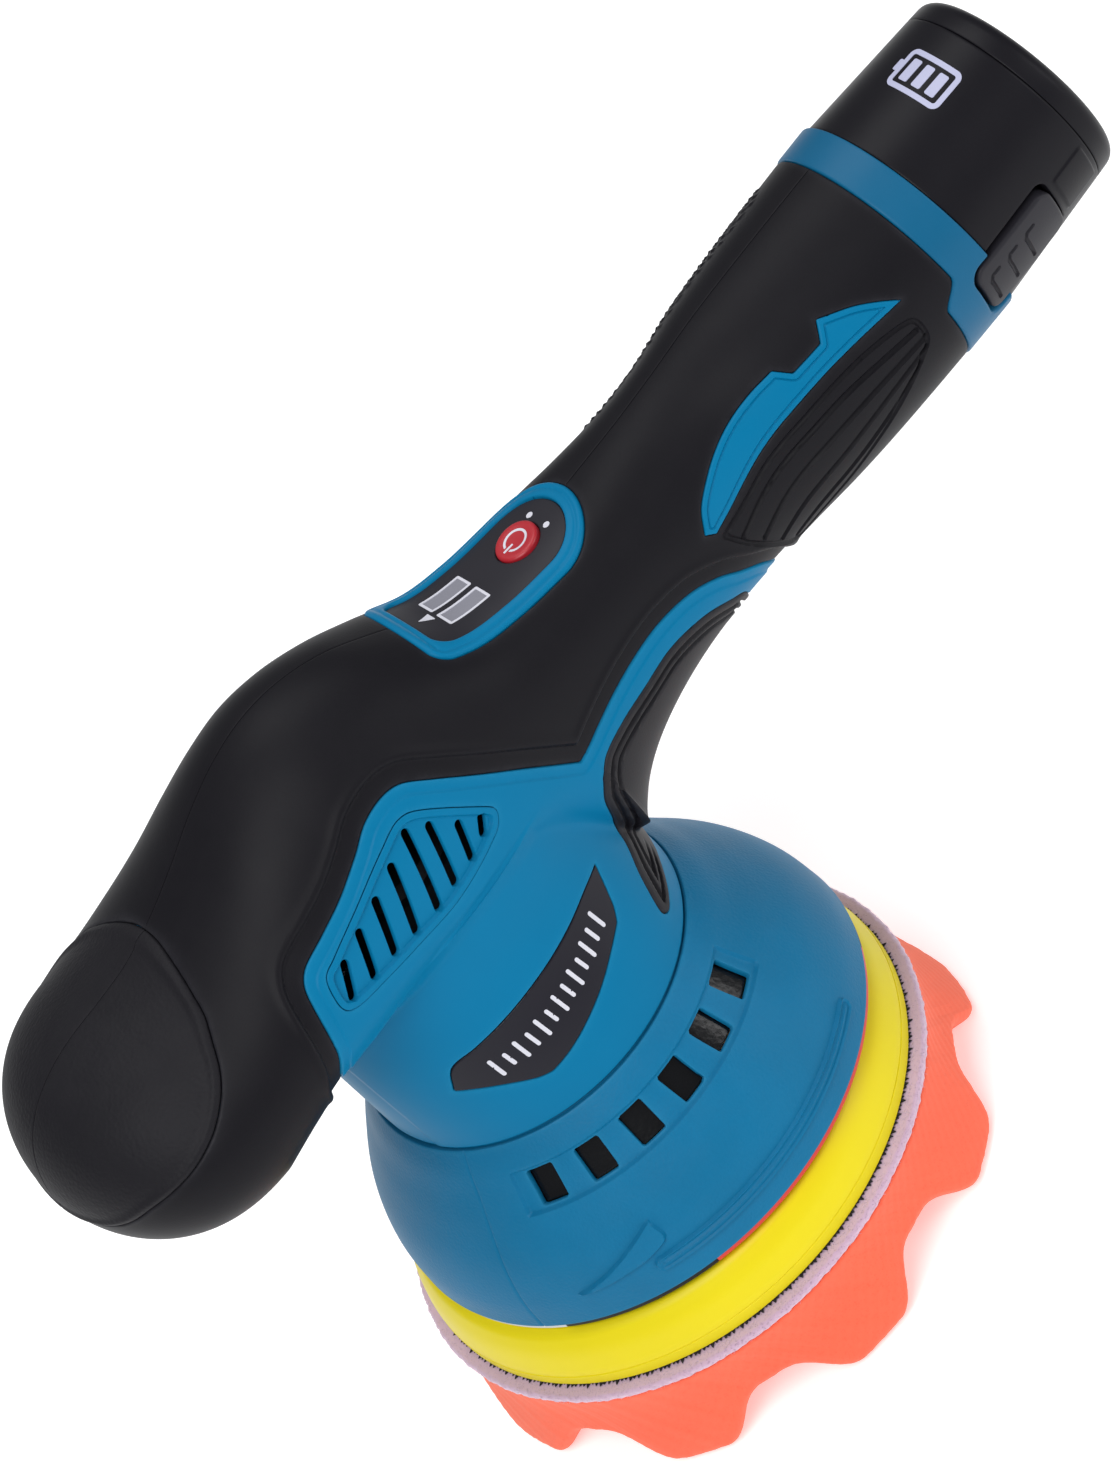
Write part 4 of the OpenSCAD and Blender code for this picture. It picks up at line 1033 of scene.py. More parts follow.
fingerCuts = {"finger": [0, 0.15, 0.4, 0.8, 1.6, 1.85, 2.1, 2.35, 2.6, 3.5, 3.75, 4.0, 4.25, 4.5]}
parts = []
for side, _, _ in sides:
    parts.append(podSkin(side, (136, 201), (0, 1.9), (120, 96), flankFields,
                         {**fingerCuts, "share": [-flank["share"]]},
                         lambda t: within(t, "finger") & podShare(t), fingerRelief,
                         fingerRest["depth"], steepRows))
    parts.append(neckSkin(side, (collarZ + 3, axisZ), (1.9, np.pi), (120, 90), flankFields,
                          {**fingerCuts, "share": [flank["share"]]},
                          lambda t: within(t, "finger") & neckShare(t), fingerRelief,
                          fingerRest["depth"]))
addPiece("fingerRest", joinSolids(parts), "housing", finish["fingerRubber"],
         ["finger_grip"])

louvre = {"rim": 1.25, "rimRise": 0.3, "sink": -0.55, "depth": 2.0}


def louvreFields(points, q):
    table = sideFields("vent")(points, q)
    near = [lineDistance(sideView(points), np.array([a, b], float))
            for a, b in zip(slots["low"], slots["high"])]
    table["slot"] = np.minimum.reduce(near) - slots["radius"]
    return table


def louvreRelief(t, points):
    rim = 1 - smoothStep((t["vent"] - louvre["rim"]) / 0.45)
    return (louvre["sink"] + (louvre["rimRise"] - louvre["sink"]) * rim
            + roundedEdge(np.minimum(t["vent"], t["slot"]), 0.3) - 0.35)


labelPlate = {"sink": -0.3, "depth": 1.2}
flashInsert = {"lift": 0.12, "line": 1.25, "lineWidth": 0.5, "lineDepth": 0.3, "depth": 1.6}
ventCuts = {"vent": [gap, 0.15, 0.36, 1.2, 1.35, 1.5, 1.7], "slot": [0, 0.1, 0.3]}
labelCuts = {"label": [gap, 0.15, 0.36]}
flashCuts = {"flash": [0, 0.12, 0.4, 1.0, 1.25, 1.5]}


def labelRelief(t, points):
    return labelPlate["sink"] + roundedEdge(t["label"] - gap, 0.3)


def flashRelief(t, points):
    line = groove(t["flash"] - flashInsert["line"], flashInsert["lineWidth"], flashInsert["lineDepth"])
    return flashInsert["lift"] + roundedEdge(t["flash"], 0.4) + line


for side, label, spot in sides:
    solid = podSkin(side, (78, 134), (1.4, 2.5), (190, 110), louvreFields, ventCuts,
                    lambda t: within(t, "vent", level=gap) & within(t, "slot"), louvreRelief,
                    louvre["depth"])
    addPiece(f"louvre{label}", solid, "housing", finish["tealSatin"],
             [f"vent_grille_{spot}"])
    solid = neckSkin(side, (collarZ + 6, axisZ - 18), (0.6, 2.5), (70, 160), sideFields("label"),
                     labelCuts, lambda t: within(t, "label", level=gap), labelRelief,
                     labelPlate["depth"])
    addPiece(f"labelPlate{label}", solid, "housing", finish["labelBlack"],
             [f"label_plate_{spot}"])
    solid = podSkin(side, (194, 262), (1.4, 2.6), (230, 100), sideFields("flash"), flashCuts,
                    lambda t: within(t, "flash"), flashRelief, flashInsert["depth"])
    addPiece(f"flashInsert{label}", solid, "housing", finish["tealSatin"],
             [f"flash_insert_{spot}"])
print("flank inserts made")


# collar, battery and latches

battery = {"start": 163.95, "seam": 194.1, "end": 200.0, "radius": 26.0, "draft": 1.6, "wall": 2.2,
           "lobe": 10.4, "lobeReach": 10.6, "stemStart": 131.4}
latch = {"tilt": -20.0, "left": 158.7, "right": 181.7, "half": 7.4, "corner": 3.0, "radius": 26.35,
         "depth": 5.4, "marks": (161.2, 166.6, 172.0)}


def latchPlace(points):
    # x, and the arc in mm from the latch's centre line on the nearer side, upwards positive
    y, z = points[:, 1], points[:, 2] - axisZ
    angle = np.degrees(np.arctan2(z, np.abs(y)))
    return points[:, 0], np.radians(angle - latch["tilt"]) * latch["radius"]


def collarFields(points, q):
    x, arc = latchPlace(points)
    return {"collar": collarField(points), "end": body["handleEnd"] - x,
            "notch": -boxField(x, arc, (157.9, -8.2), (180, 8.2), 3.4)}


def collarRelief(t, points):
    inner = roundedEdge(np.minimum(t["collar"], t["notch"]), 0.6)
    return 0.3 + inner + roundedEdge(t["end"], 0.4)


collarCuts = {"collar": [gap, 0.2, 0.5, 0.9], "end": [0, 0.15, 0.4], "notch": [0, 0.15, 0.4, 0.9]}
parts = [podSkin(side, (lineEnd - 16, lineEnd), (0, np.pi), (34, 160), collarFields, collarCuts,
                 lambda t: within(t, "collar", level=gap) & within(t, "end", "notch"),
                 collarRelief, 3.0) for side, _, _ in sides]
addPiece("handleCollar", joinSolids(parts), "housing", finish["tealRing"],
         ["handle_collar"])


def drumRadius(x):
    # a plain draft: 1.6 mm less over 30 mm
    return battery["radius"] - battery["draft"] * (x - battery["start"]) / 30


def drumSurface(q):
    # turned about the handle's centre line: q = (x, cosine, sine)
    r = drumRadius(q[:, 0]) / np.maximum(np.hypot(q[:, 1], q[:, 2]), 1e-9)
    return np.stack([q[:, 0], q[:, 1] * r, axisZ + q[:, 2] * r], 1)


def drumFields(points, q):
    x, arc = latchPlace(points)
    return {"front": x - battery["start"], "back": battery["seam"] - x,
            "pocket": -boxField(x, arc, (150, -7.9), (182.2, 9.0), 2.4),
            "plate": boxField(x, arc, (183.6, -6.2), (193, 6.2), 0.8)}


def drumRelief(t, points):
    plate = 0.35 * smoothStep(t["plate"] / 0.5)
    edge = np.minimum.reduce([t["front"], t["back"], t["pocket"]])
    return plate + roundedEdge(edge, 0.4) - 0.05


drumCuts = {"front": [0, 0.12, 0.35], "back": [0, 0.12, 0.35], "pocket": [0, 0.12, 0.35],
            "plate": [0, 0.25, 0.5]}
drum = solidSkin(ringSkin((battery["start"], battery["seam"]), 50, 240), drumSurface, drumFields,
                 drumCuts, lambda t: within(t, "front", "back", "pocket"), drumRelief,
                 battery["wall"], flip=True)


def faceSurface(q):
    # the drum's front face: q = (radius, cosine, sine)
    r = q[:, 0] / np.maximum(np.hypot(q[:, 1], q[:, 2]), 1e-9)
    return np.stack([np.full(len(q), battery["start"] + 0.3), q[:, 1] * r, axisZ + q[:, 2] * r], 1)


face = solidSkin(ringSkin((12, 24.6), 16, 200), faceSurface,
                 lambda p, q: {"reach": q[:, 0] - 18.6, "arc": 8.6 - np.abs(latchPlace(p)[1])},
                 {"reach": [0], "arc": [0]}, lambda t: (t["reach"] < tiny) | (t["arc"] < tiny),
                 lambda t, p: 0.0, 1.5, flip=True)


def lobedPost(start, end, reach, lobe, round_=1.0, count=180):
    # extruded along x: the outline is the hull of three circles, with a rounded front end
    angle = 2 * np.pi * np.arange(count) / count
    lobes = np.radians([30, 150, 270])
    nearest = lobes[np.argmax(np.cos(angle[:, None] - lobes), axis=1)]
    rings = []
    for inset, x in ((lobe, start), (round_, start), (round_ * 0.3, start + round_ * 0.3),
                     (0, start + round_), (0, end), (lobe, end)):
        out = np.where(inset >= lobe, 0, 1) * reach
        rings.append(np.stack([np.full(count, x),
                               out * np.cos(nearest) + (lobe - min(inset, lobe)) * np.cos(angle),
                               axisZ + out * np.sin(nearest)
                               + (lobe - min(inset, lobe)) * np.sin(angle)], 1))
    points = np.vstack(rings)
    a, d = ringCells(len(rings) - 1, count)
    tri = np.concatenate([np.stack([a, d, d + count], 1), np.stack([a, d + count, a + count], 1)])
    tri = np.where(tri < count, 0, np.where(tri >= len(points) - count, len(points) - count, tri))
    tri, points = dropUnused(dropFlat(tri), points)
    return points, tri, np.zeros(len(points))


def blockSolid(low, high, bevel=0.5):
    # a box with bevelled edges, as the hull of three crossed boxes
    low, high = np.array(low, float), np.array(high, float)
    points, index = [], {}
    for corner in range(8):
        bits = [(corner >> k) & 1 for k in range(3)]
        for axis in range(3):
            p = [high[k] - bevel * (k != axis) if bits[k] else low[k] + bevel * (k != axis)
                 for k in range(3)]
            index[corner, axis] = len(points)
            points.append(p)
    tri = []
    centre = (low + high) / 2

    def add(*ids):
        # a fan over the points, turned to face away from the middle
        for k in range(1, len(ids) - 1):
            t = [ids[0], ids[k], ids[k + 1]]
            p = [np.array(points[i]) for i in t]
            if np.dot(np.cross(p[1] - p[0], p[2] - p[0]), (p[0] + p[1] + p[2]) / 3 - centre) < 0:
                t.reverse()
            tri.append(t)

    for axis in range(3):
        u, v = (axis + 1) % 3, (axis + 2) % 3
        for bit in (0, 1):
            ring = [bit << axis | a << u | b << v for a, b in ((0, 0), (1, 0), (1, 1), (0, 1))]
            add(*[index[c, axis] for c in ring])
    for axis in range(3):
        u, v = (axis + 1) % 3, (axis + 2) % 3
        for a in (0, 1):
            for b in (0, 1):
                c0, c1 = a << u | b << v, 1 << axis | a << u | b << v
                add(index[c0, u], index[c1, u], index[c1, v], index[c0, v])
    for c in range(8):
        add(index[c, 0], index[c, 1], index[c, 2])
    return np.array(points), np.array(tri), np.zeros(len(points))


stem = lobedPost(battery["stemStart"], battery["seam"] + 1.5, battery["lobeReach"], battery["lobe"])
tongue = blockSolid((battery["stemStart"] - 15, -7, axisZ - 4.5),
                    (battery["stemStart"] + 2, 7, axisZ + 4.5), 0.8)
addPiece("batteryCase", joinSolids([drum, face, stem, tongue]), "battery", finish["batteryBlack"],
         ["battery_case"])


def turnX(profile, count=200):
    # a closed outline of (x, radius) turned about the handle's centre line
    outline = np.array(profile, float)[:, ::-1]
    points, tri, wear = lathe(outline, count)
    return np.stack([points[:, 2], points[:, 0], points[:, 1] + axisZ], 1), tri, wear


capR = 24.35
capOutline = roundCorners([(194.15, 20.5), (194.15, capR), (battery["end"], capR - 0.35),
                           (battery["end"], 18.2), (battery["end"] - 0.5, 17.6), (battery["end"] - 0.5, 0),
                           (196.8, 0), (196.8, 20.5)],
                          [0, 0.35, 2.9, 0.25, 0.25, 0, 0, 0.5], 7)
addPiece("batteryEnd", turnX(capOutline), "battery", finish["batteryBlack"],
         ["battery_end_cap"])


def latchFields(points, q):
    x, arc = latchPlace(points)
    strokes = [np.array([[x0, -4.2], [x0, 2.6], [x0 + 0.8, 3.6], [x0 + 2.8, 3.6]])
               for x0 in latch["marks"]]
    near = [lineDistance(np.stack([x, arc], 1), stroke) for stroke in strokes]
    return {"inside": boxField(x, arc, (latch["left"], -latch["half"]),
                               (latch["right"], latch["half"]), latch["corner"]),
            "mark": np.minimum.reduce(near)}


def latchSurface(side):
    # q = (x, arc in mm from the latch's centre line)
    def surface(q):
        angle = np.radians(latch["tilt"]) + q[:, 1] / latch["radius"]
        r = latch["radius"] - 0.0012 * np.maximum(q[:, 0] - 164, 0) ** 2
        return np.stack([q[:, 0], side * r * np.cos(angle), axisZ + r * np.sin(angle)], 1)
    return surface


for side, label, spot, bodyName in ((-1, "Near", "left", "latch_near"),
                                    (1, "Far", "right", "latch_far")):
    skin = gridSkin((157, 183), (-9, 9), (104, 72))
    solid = solidSkin(skin, latchSurface(side), latchFields,
                      {"inside": [0, 0.15, 0.4, 0.8], "mark": [0.25, 0.5]},
                      lambda t: within(t, "inside"),
                      lambda t, p: roundedEdge(t["inside"], 0.8) + groove(t["mark"], 1.0, 0.55),
                      latch["depth"], flip=side > 0)
    addPiece(f"latch{label}", solid, bodyName, finish["latchBlack"],
             [f"latch_{spot}"])
print("battery made")


# control panel: a height over (x, y) on top of the handle

def topSurface(q):
    x, y = q[:, 0], q[:, 1]
    middle, up, _, half, square = bodySection(x)
    rise = (1 - np.clip(np.abs(y) / half, 0, 1) ** square) ** (1 / square)
    return np.stack([x, y, middle + up * rise], 1)


def bezelFields(points, q):
    return {"outer": stadium(q[:, 0], q[:, 1], panel["bezel"], panel["bezelBack"]),
            "inner": -stadium(q[:, 0], q[:, 1], panel["overlay"] + gap, panel["overlayBack"] + gap)}


def bezelRelief(t, points):
    # both edges rounded, with a fine line pressed in along the outer one
    return (0.55 + roundedEdge(t["outer"], 0.9) + roundedEdge(t["inner"], 0.6)
            - 0.25 * np.exp(-((t["outer"] - 1.6) / 0.35) ** 2))


solid = solidSkin(gridSkin((31, 78), (-15, 15), (150, 100)), topSurface, bezelFields,
                  {"outer": [0, 0.15, 0.4, 0.8], "inner": [0, 0.15, 0.4, 0.8]},
                  lambda t: within(t, "outer", "inner"), bezelRelief, 2.6)
addPiece("panelBezel", solid, "housing", finish["tealSatin"], ["control_bezel"])


def windowBoxes(x, y):
    # inside distances of the two display windows
    w, h = panel["windowSize"]
    return [boxField(x, y, (a, b), (a + w, b + h), 0.3) for a, b in panel["windows"]]


def overlayFields(points, q):
    x, y = q[:, 0], q[:, 1]
    return {"inside": stadium(x, y, panel["overlay"], panel["overlayBack"]),
            "hole": np.hypot(x - panel["x"], y) - panel["button"] - 0.12,
            "window": np.maximum.reduce(windowBoxes(x, y))}


overlayGrid = ((34, 74), (-12, 12), (110, 70))
solid = solidSkin(gridSkin(*overlayGrid), topSurface, overlayFields,
                  {"inside": [0, 0.15, 0.4], "hole": [0, 0.15, 0.4], "window": [-0.05]},
                  lambda t: within(t, "inside", "hole") & (t["window"] < tiny - 0.05),
                  lambda t, p: -0.15 + roundedEdge(np.minimum(t["inside"], t["hole"]), 0.3), 1.6)
addPiece("panelFace", solid, "housing", finish["overlayBlack"],
         ["control_overlay"])
solid = solidSkin(gridSkin(*overlayGrid), topSurface, overlayFields, {"window": [0, 0.5]},
                  lambda t: within(t, "window"), lambda t, p: -0.22, 1.2)
addPiece("displayWindows", solid, "housing", finish["displayGrey"],
         ["display_windows"])


def inked(t):
    return within(t, "ink")


def printFields(points, q):
    x, y = q[:, 0], q[:, 1]
    frames = [0.28 - np.abs(box - 0.2) for box in windowBoxes(x, y)]
    arrow = np.minimum(0.55 * (x - 37.2) - np.abs(y + 0.5), 39.8 - x)
    leds = [0.75 - np.hypot(x - a, y - b) for a, b in panel["leds"]]
    return {"ink": np.maximum.reduce(frames + [arrow] + leds)}


solid = solidSkin(gridSkin((35, 72), (-9, 9), (260, 130)), topSurface, printFields, {"ink": [0]},
                  inked, lambda t, p: -0.1, 0.4)
addPiece("panelPrint", solid, "housing", finish["markWhite"], ["led_lenses"])

# button: levels above the handle's centre line, a flange below and a dished top
button = {"radius": 4.9, "top": 24.65, "low": 19.2, "flange": 5.75, "flangeThick": 1,
          "edgeDrop": 0.15, "dishRadius": 3.6, "dishDrop": 0.45}
foot = axisZ + button["low"]
edge = axisZ + button["top"] - button["edgeDrop"]
buttonOutline = roundCorners([(0, foot), (button["flange"], foot),
                              (button["flange"], foot + button["flangeThick"]),
                              (button["radius"], foot + button["flangeThick"]),
                              (button["radius"], edge), (button["dishRadius"], edge),
                              (0, axisZ + button["top"] - button["dishDrop"])],
                             [0, 0.2, 0.2, 0, 0.7, 1.2, 0], 6)
addPiece("powerButton", lathe(buttonOutline, 96, (panel["x"], 0)), "button", finish["buttonRed"],
         ["power_button"])


def iconFields(points, q):
    x, y = q[:, 0] - panel["x"], q[:, 1]
    ring = 0.27 - np.abs(np.hypot(x, y) - 2.5)
    gap = np.abs(y) - 0.75
    open_ = np.where(x < 0, np.minimum(ring, gap), ring)
    bar = np.minimum(0.27 - np.abs(y), np.minimum(x + 3.4, -0.9 - x))
    return {"ink": np.maximum(open_, bar)}


def buttonTop(q):
    r = np.hypot(q[:, 0] - panel["x"], q[:, 1])
    rise = button["dishDrop"] - button["edgeDrop"]
    z = axisZ + button["top"] - button["dishDrop"] + rise * smoothStep(r / button["dishRadius"])
    return np.stack([q[:, 0], q[:, 1], z], 1)


solid = solidSkin(gridSkin((58, 66), (-4, 4), (80, 80)), buttonTop, iconFields, {"ink": [0]},
                  inked, lambda t, p: 0.04, 0.1)
addPiece("powerIcon", solid, "button", finish["markWhite"])
print("panel made")


# hood: a turned shell, cut and raised by fields over its height and arc
hoodShape = {
    # height above the rim, radius against the rim's
    "profile": np.array([[0, 0], [8, -1], [16, -3.8], [24, -8.5], [30, -12.4], [35, -15.3],
                         [39, -18.1]], float),
    "rim": 57.0, "wall": 2.3, "windowWidth": 6.0, "windowLow": 26.3, "windowHigh": 32.9,
    "windowTurns": [-41.5, -26.5, -11.5, 3.5, 18.5, 33.5], "bandTurns": (-50, 41),
    "bandLow": 25.3, "bandHigh": 33.7, "bandSink": 0.75, "stripTurns": (-30, 41), "stripLow": 5.2,
    "stripHigh": 8.6, "stripRise": 0.8, "finRise": 0.95, "seamTurn": -62.0, "gap": 0.12,
    "height": 39,
}


def hoodRadius(height):
    return hoodShape["rim"] + tableCurve(hoodShape["profile"], 1, height)


def hoodSurface(q):
    # q = (height above the rim, cosine, sine)
    r = hoodRadius(q[:, 0]) / np.maximum(np.hypot(q[:, 1], q[:, 2]), 1e-9)
    return np.stack([q[:, 1] * r, q[:, 2] * r, rimZ + q[:, 0]], 1)


def hoodTurn(points):
    # degrees from the near side towards the handle; the far half repeats the near half
    turn = np.degrees(np.arctan2(points[:, 0], -points[:, 1]))
    return np.where(np.abs(turn) > 90, turn - 180 * np.sign(turn), turn)


def hoodFields(points, q):
    turn, height = hoodTurn(points), points[:, 2] - rimZ
    perDegree = np.radians(1) * hoodRadius(height)
    h = hoodShape
    windows = [boxField((turn - t) * perDegree, height, (-h["windowWidth"] / 2, h["windowLow"]),
                        (h["windowWidth"] / 2, h["windowHigh"]), 0.3) for t in h["windowTurns"]]
    middle = sum(h["bandTurns"]) / 2
    reach = (h["bandTurns"][1] - middle) * perDegree
    across = (turn - middle) * perDegree
    band = np.minimum(np.minimum(reach - np.abs(across), height - h["bandLow"]), h["bandHigh"] - height)
    middle = sum(h["stripTurns"]) / 2
    strip = boxField((turn - middle) / 35.5 * 34, height, (-34, h["stripLow"]), (34, h["stripHigh"]), 1.2)
    fin = insideDistance(np.stack([turn * 0.94, height], 1), finOutline)
    return {"window": np.maximum.reduce(windows), "band": band, "strip": strip, "fin": fin,
            "seam": (turn - h["seamTurn"]) * perDegree, "foot": height, "top": h["height"] - h["gap"] - height}


finOutline = smoothLine([[-47, 7.8], [-38, 10.4], [-30, 13.6], [-23.6, 16.4], [-22.8, 11.5],
                         [-28.2, 9.4], [-33, 8.8], [-40, 8]], corners=(0, 3, 5))


def hoodRelief(t, points):
    h = hoodShape
    t["edge"] = np.minimum.reduce([-t["window"], t["foot"], t["top"]])
    band = -h["bandSink"] * smoothStep((t["band"] + 0.1) / 0.6)
    strip = h["stripRise"] * smoothStep((t["strip"] + 0.05) / 0.4) + groove(t["strip"] - 1.05, 0.8, 0.5)
    fin = h["finRise"] * smoothStep((t["fin"] + 0.05) / 0.45)
    return (band + strip + fin + groove(t["seam"], 0.6, 0.18) + roundedEdge(-t["window"], 0.25)
            + roundedEdge(t["foot"], 0.6) + roundedEdge(t["top"], 0.4))


hoodCuts = {"window": [0, -0.12, -0.3], "band": [-0.1, 0.2, 0.5], "strip": [-0.05, 0.35, 0.9, 1.3],
            "fin": [-0.05, 0.4], "seam": [-0.3, 0, 0.3], "foot": [0.2, 0.6], "top": [0, 0.15, 0.4]}
shell = solidSkin(ringSkin((0, hoodShape["height"]), 66, 400), hoodSurface, hoodFields, hoodCuts,
                  lambda t: (t["window"] < tiny) & within(t, "top"), hoodRelief, hoodShape["wall"],
                  flip=True)
seat = lathe(roundCorners([(9, 74), (37.2, 74), (38, 78.6), (20, 78.85), (20, 84), (9, 84)],
                          [0.3, 0, 0.4, 0, 0.4, 0.4], 3), 120)
addPiece("hoodShell", joinSolids([shell, seat]), "housing", finish["tealGrain"],
         ["hood"])

# a thin dark glossy sheet behind the windows of each half: painted shade where the hood's inside shows through
film = {"thick": 0.35, "inset": 3.1, "levels": (25, 27.5, 30, 32), "starts": (-141, 39), "span": 92}
ventShadeOuter = [(float(hoodRadius(np.array([z]))[0]) - film["inset"], rimZ + z) for z in film["levels"]]
ventShadeOutline = [(radius - film["thick"], z) for radius, z in ventShadeOuter] + ventShadeOuter[::-1]
ventShadeSheets = [lathe(ventShadeOutline, 70, start=start, span=film["span"]) for start in film["starts"]]
addPiece("hoodScreen", joinSolids(ventShadeSheets), "housing", finish["filmBlack"])

bandSpans = {"rimBandPale": (113, 100, "bandPale", "band_pale", "rim_band_pale"),
             "rimBandBlack": (-147, 37, "bandBlack", "black_plastic", "rim_band_black"),
             "rimBandBlackBack": (-30, 143, "bandBlack", "black_plastic", None),
             "rimBandRed": (-110, 80, "bandRed", "band_red", "rim_band_red")}
bandOutline = roundCorners([(54.5, rimZ - 1.2), (56.6, rimZ - 1.2), (56.6, rimZ + 0.05),
                            (54.5, rimZ + 0.05)], [0.1, 0.4, 0.1, 0.1], 4)
for name, (start, span, look, slotName, node) in bandSpans.items():
    arc = lathe(bandOutline, int(span * 1.2), start=start + 0.05, span=span - 0.1)
    addPiece(name, arc, "housing", finish[look], [node] if node else ())
print("hood made")


# backing plate: turned, with a step on its wall and a shallow moulding line
plate = {"radius": 59.2, "turns": 300}


def padOutline(rows, radii=None, steps=7):
    # rows of (radius, height above the hook joint, whether the radius counts inwards from the wall)
    outline = [(plate["radius"] - r if inward else r, deckZ + z) for r, z, inward in rows]
    return roundCorners(outline, radii, steps) if radii else outline


plateOutline = padOutline([
    (0, 1.2, False), (1.3, 1.2, True), (1.3, 0.62, True), (0, 0.62, True), (0.02, 3.4, True),
    (0.3, 3.55, True), (0.12, 3.7, True), (0.25, 5, True), (1.6, 9.5, True), (3.8, 13, True),
    (7, 14.2, True), (26, 15.5, False), (12, 15.5, False), (12, 7, False), (48, 7, False),
    (48, 4, False), (0, 4, False)],
    [0, 0.2, 0.2, 0.4, 0, 0, 0, 6, 14, 3, 8, 0.8, 0.4, 0.3, 0.6, 0.3, 0])
addPiece("backingPlate", lathe(plateOutline, plate["turns"], (padShift, 0)), "pad",
         finish["polyurethane"], ["backing_plate"])

# hook layer: a disc whose edge is a row of small teeth of uneven length
hook = {"teeth": 360, "turns": 1440}


def toothed(outline, turns, start, depth, seed):
    # a turned solid; points past the start radius move in and out with the angle
    points, tri, wear = lathe(outline, turns)
    angle = np.arctan2(points[:, 1], points[:, 0])
    r = np.hypot(points[:, 0], points[:, 1])
    uneven = (0.5 + 0.28 * np.sin(hook["teeth"] * angle) + 0.14 * np.sin(97 * angle + seed)
              + 0.16 * np.sin(211 * angle + 2 * seed))
    scale = 1 - np.where(r > start, depth * uneven, 0) / np.maximum(r, 1)
    points = points * np.stack([scale, scale, np.ones(len(r))], 1) + [padShift, 0, 0]
    return points, tri, wear


hookRows = [(0, 0.03), (57.5, 0.03), (59.6, 0.05), (60.0, 0.3), (59.6, 0.57), (57.6, 0.58),
            (57.6, 1.15), (0, 1.15)]
hookOutline = padOutline([(radius, height, False) for radius, height in hookRows])
addPiece("hookLayer", toothed(hookOutline, hook["turns"], 58.5, 1.7, 0.7), "pad",
         finish["hookBlack"], ["hook_layer"])

# felt: a disc with a soft uneven edge, and short fibres that stand off the edge
felt = {"radius": 62.1, "low": 22.0, "turns": 720, "fibres": 3600, "seed": 11}


def lumpy(points, amount, waves):
    # adds a smooth unevenness along the radius: a sum of sines of the angle and the height
    x, y, height = points[:, 0] - padShift, points[:, 1], points[:, 2]
    angle, r = np.arctan2(y, x), np.hypot(x, y)
    swell = sum(np.sin(n * angle + p + height * k) for n, p, k in waves) / len(waves)
    push = amount * swell * smoothStep((r - 52) / 6)
    out = points.copy()
    out[:, 0] += push * np.cos(angle)
    out[:, 1] += push * np.sin(angle)
    return out


feltOutline = roundCorners([(0, felt["low"]), (felt["radius"], felt["low"]), (felt["radius"], deckZ),
                            (0, deckZ)], [0, 0.75, 0.85, 0], 7)
points, tri, wear = lathe(feltOutline, felt["turns"], (padShift, 0))
points = lumpy(points, 0.3, [(61, 0.3, 1.1), (97, 1.9, -0.8), (143, 4.0, 2.0), (211, 2.2, -1.4),
                             (17, 1, 0)])


def shortFibres():
    # each fibre is a tapering three-sided spike, bent up or down, rooted in the felt's edge
    rng = np.random.default_rng(felt["seed"])
    n = felt["fibres"]
    angle = rng.uniform(0, 2 * np.pi, n)
    height = rng.uniform(felt["low"] + 0.25, deckZ - 0.25, n)
    length, thick = rng.uniform(0.35, 0.95, n), rng.uniform(0.035, 0.06, n)
    swing, lift = rng.uniform(-0.8, 0.8, n), rng.uniform(-0.7, 0.7, n)
    rings = []
    for k, t in enumerate((0, 0.5, 1.0)):
        reach = felt["radius"] - 0.45 + length * t * (1 - 0.25 * t)
        turn = angle + swing * length * t**1.4 / felt["radius"]
        level = height + lift * length * t**1.6
        for c in range(3):
            a = 2 * np.pi * c / 3
            w = thick * (1 - 0.8 * t)
            rings.append(np.stack([padShift + reach * np.cos(turn) - w * np.cos(a) * np.sin(turn),
                                   reach * np.sin(turn) + w * np.cos(a) * np.cos(turn),
                                   level + w * np.sin(a)], 1))
    spikes = np.stack(rings, 1).reshape(-1, 3)
    one = [[0, 2, 1], [6, 7, 8]]
    for k in (0, 3):
        for c in range(3):
            d = (c + 1) % 3
            one += [[k + c, k + d, k + 3 + d], [k + c, k + 3 + d, k + 3 + c]]
    tri = (np.array(one)[None] + 9 * np.arange(n)[:, None, None]).reshape(-1, 3)
    return spikes, tri, np.zeros(len(spikes))


feltPiece = addPiece("feltLayer", joinSolids([(points, tri, wear), shortFibres()]), "pad",
                     finish["felt"], ["loop_layer"], sharpAngle=75)

# foam pad: one polar surface, waves on the working face fading towards its middle
foam = {"rimRadius": 61.4, "crestRadius": 64.8, "troughRadius": 61.9, "rise": 9.0, "rootTop": 22.0,
        "lobes": 9, "phase": 96.0, "corner": 2.4, "turns": 720, "fadeStart": 8.0, "fadeRun": 34.0,
        "faceRows": 34}


def foamLobe(angle):
    # 1 on a crest, 0 in a trough, with blunt crests
    wave = 0.5 + 0.5 * np.cos(foam["lobes"] * (angle + np.radians(foam["phase"])))
    return smoothStep(wave * 1.15)


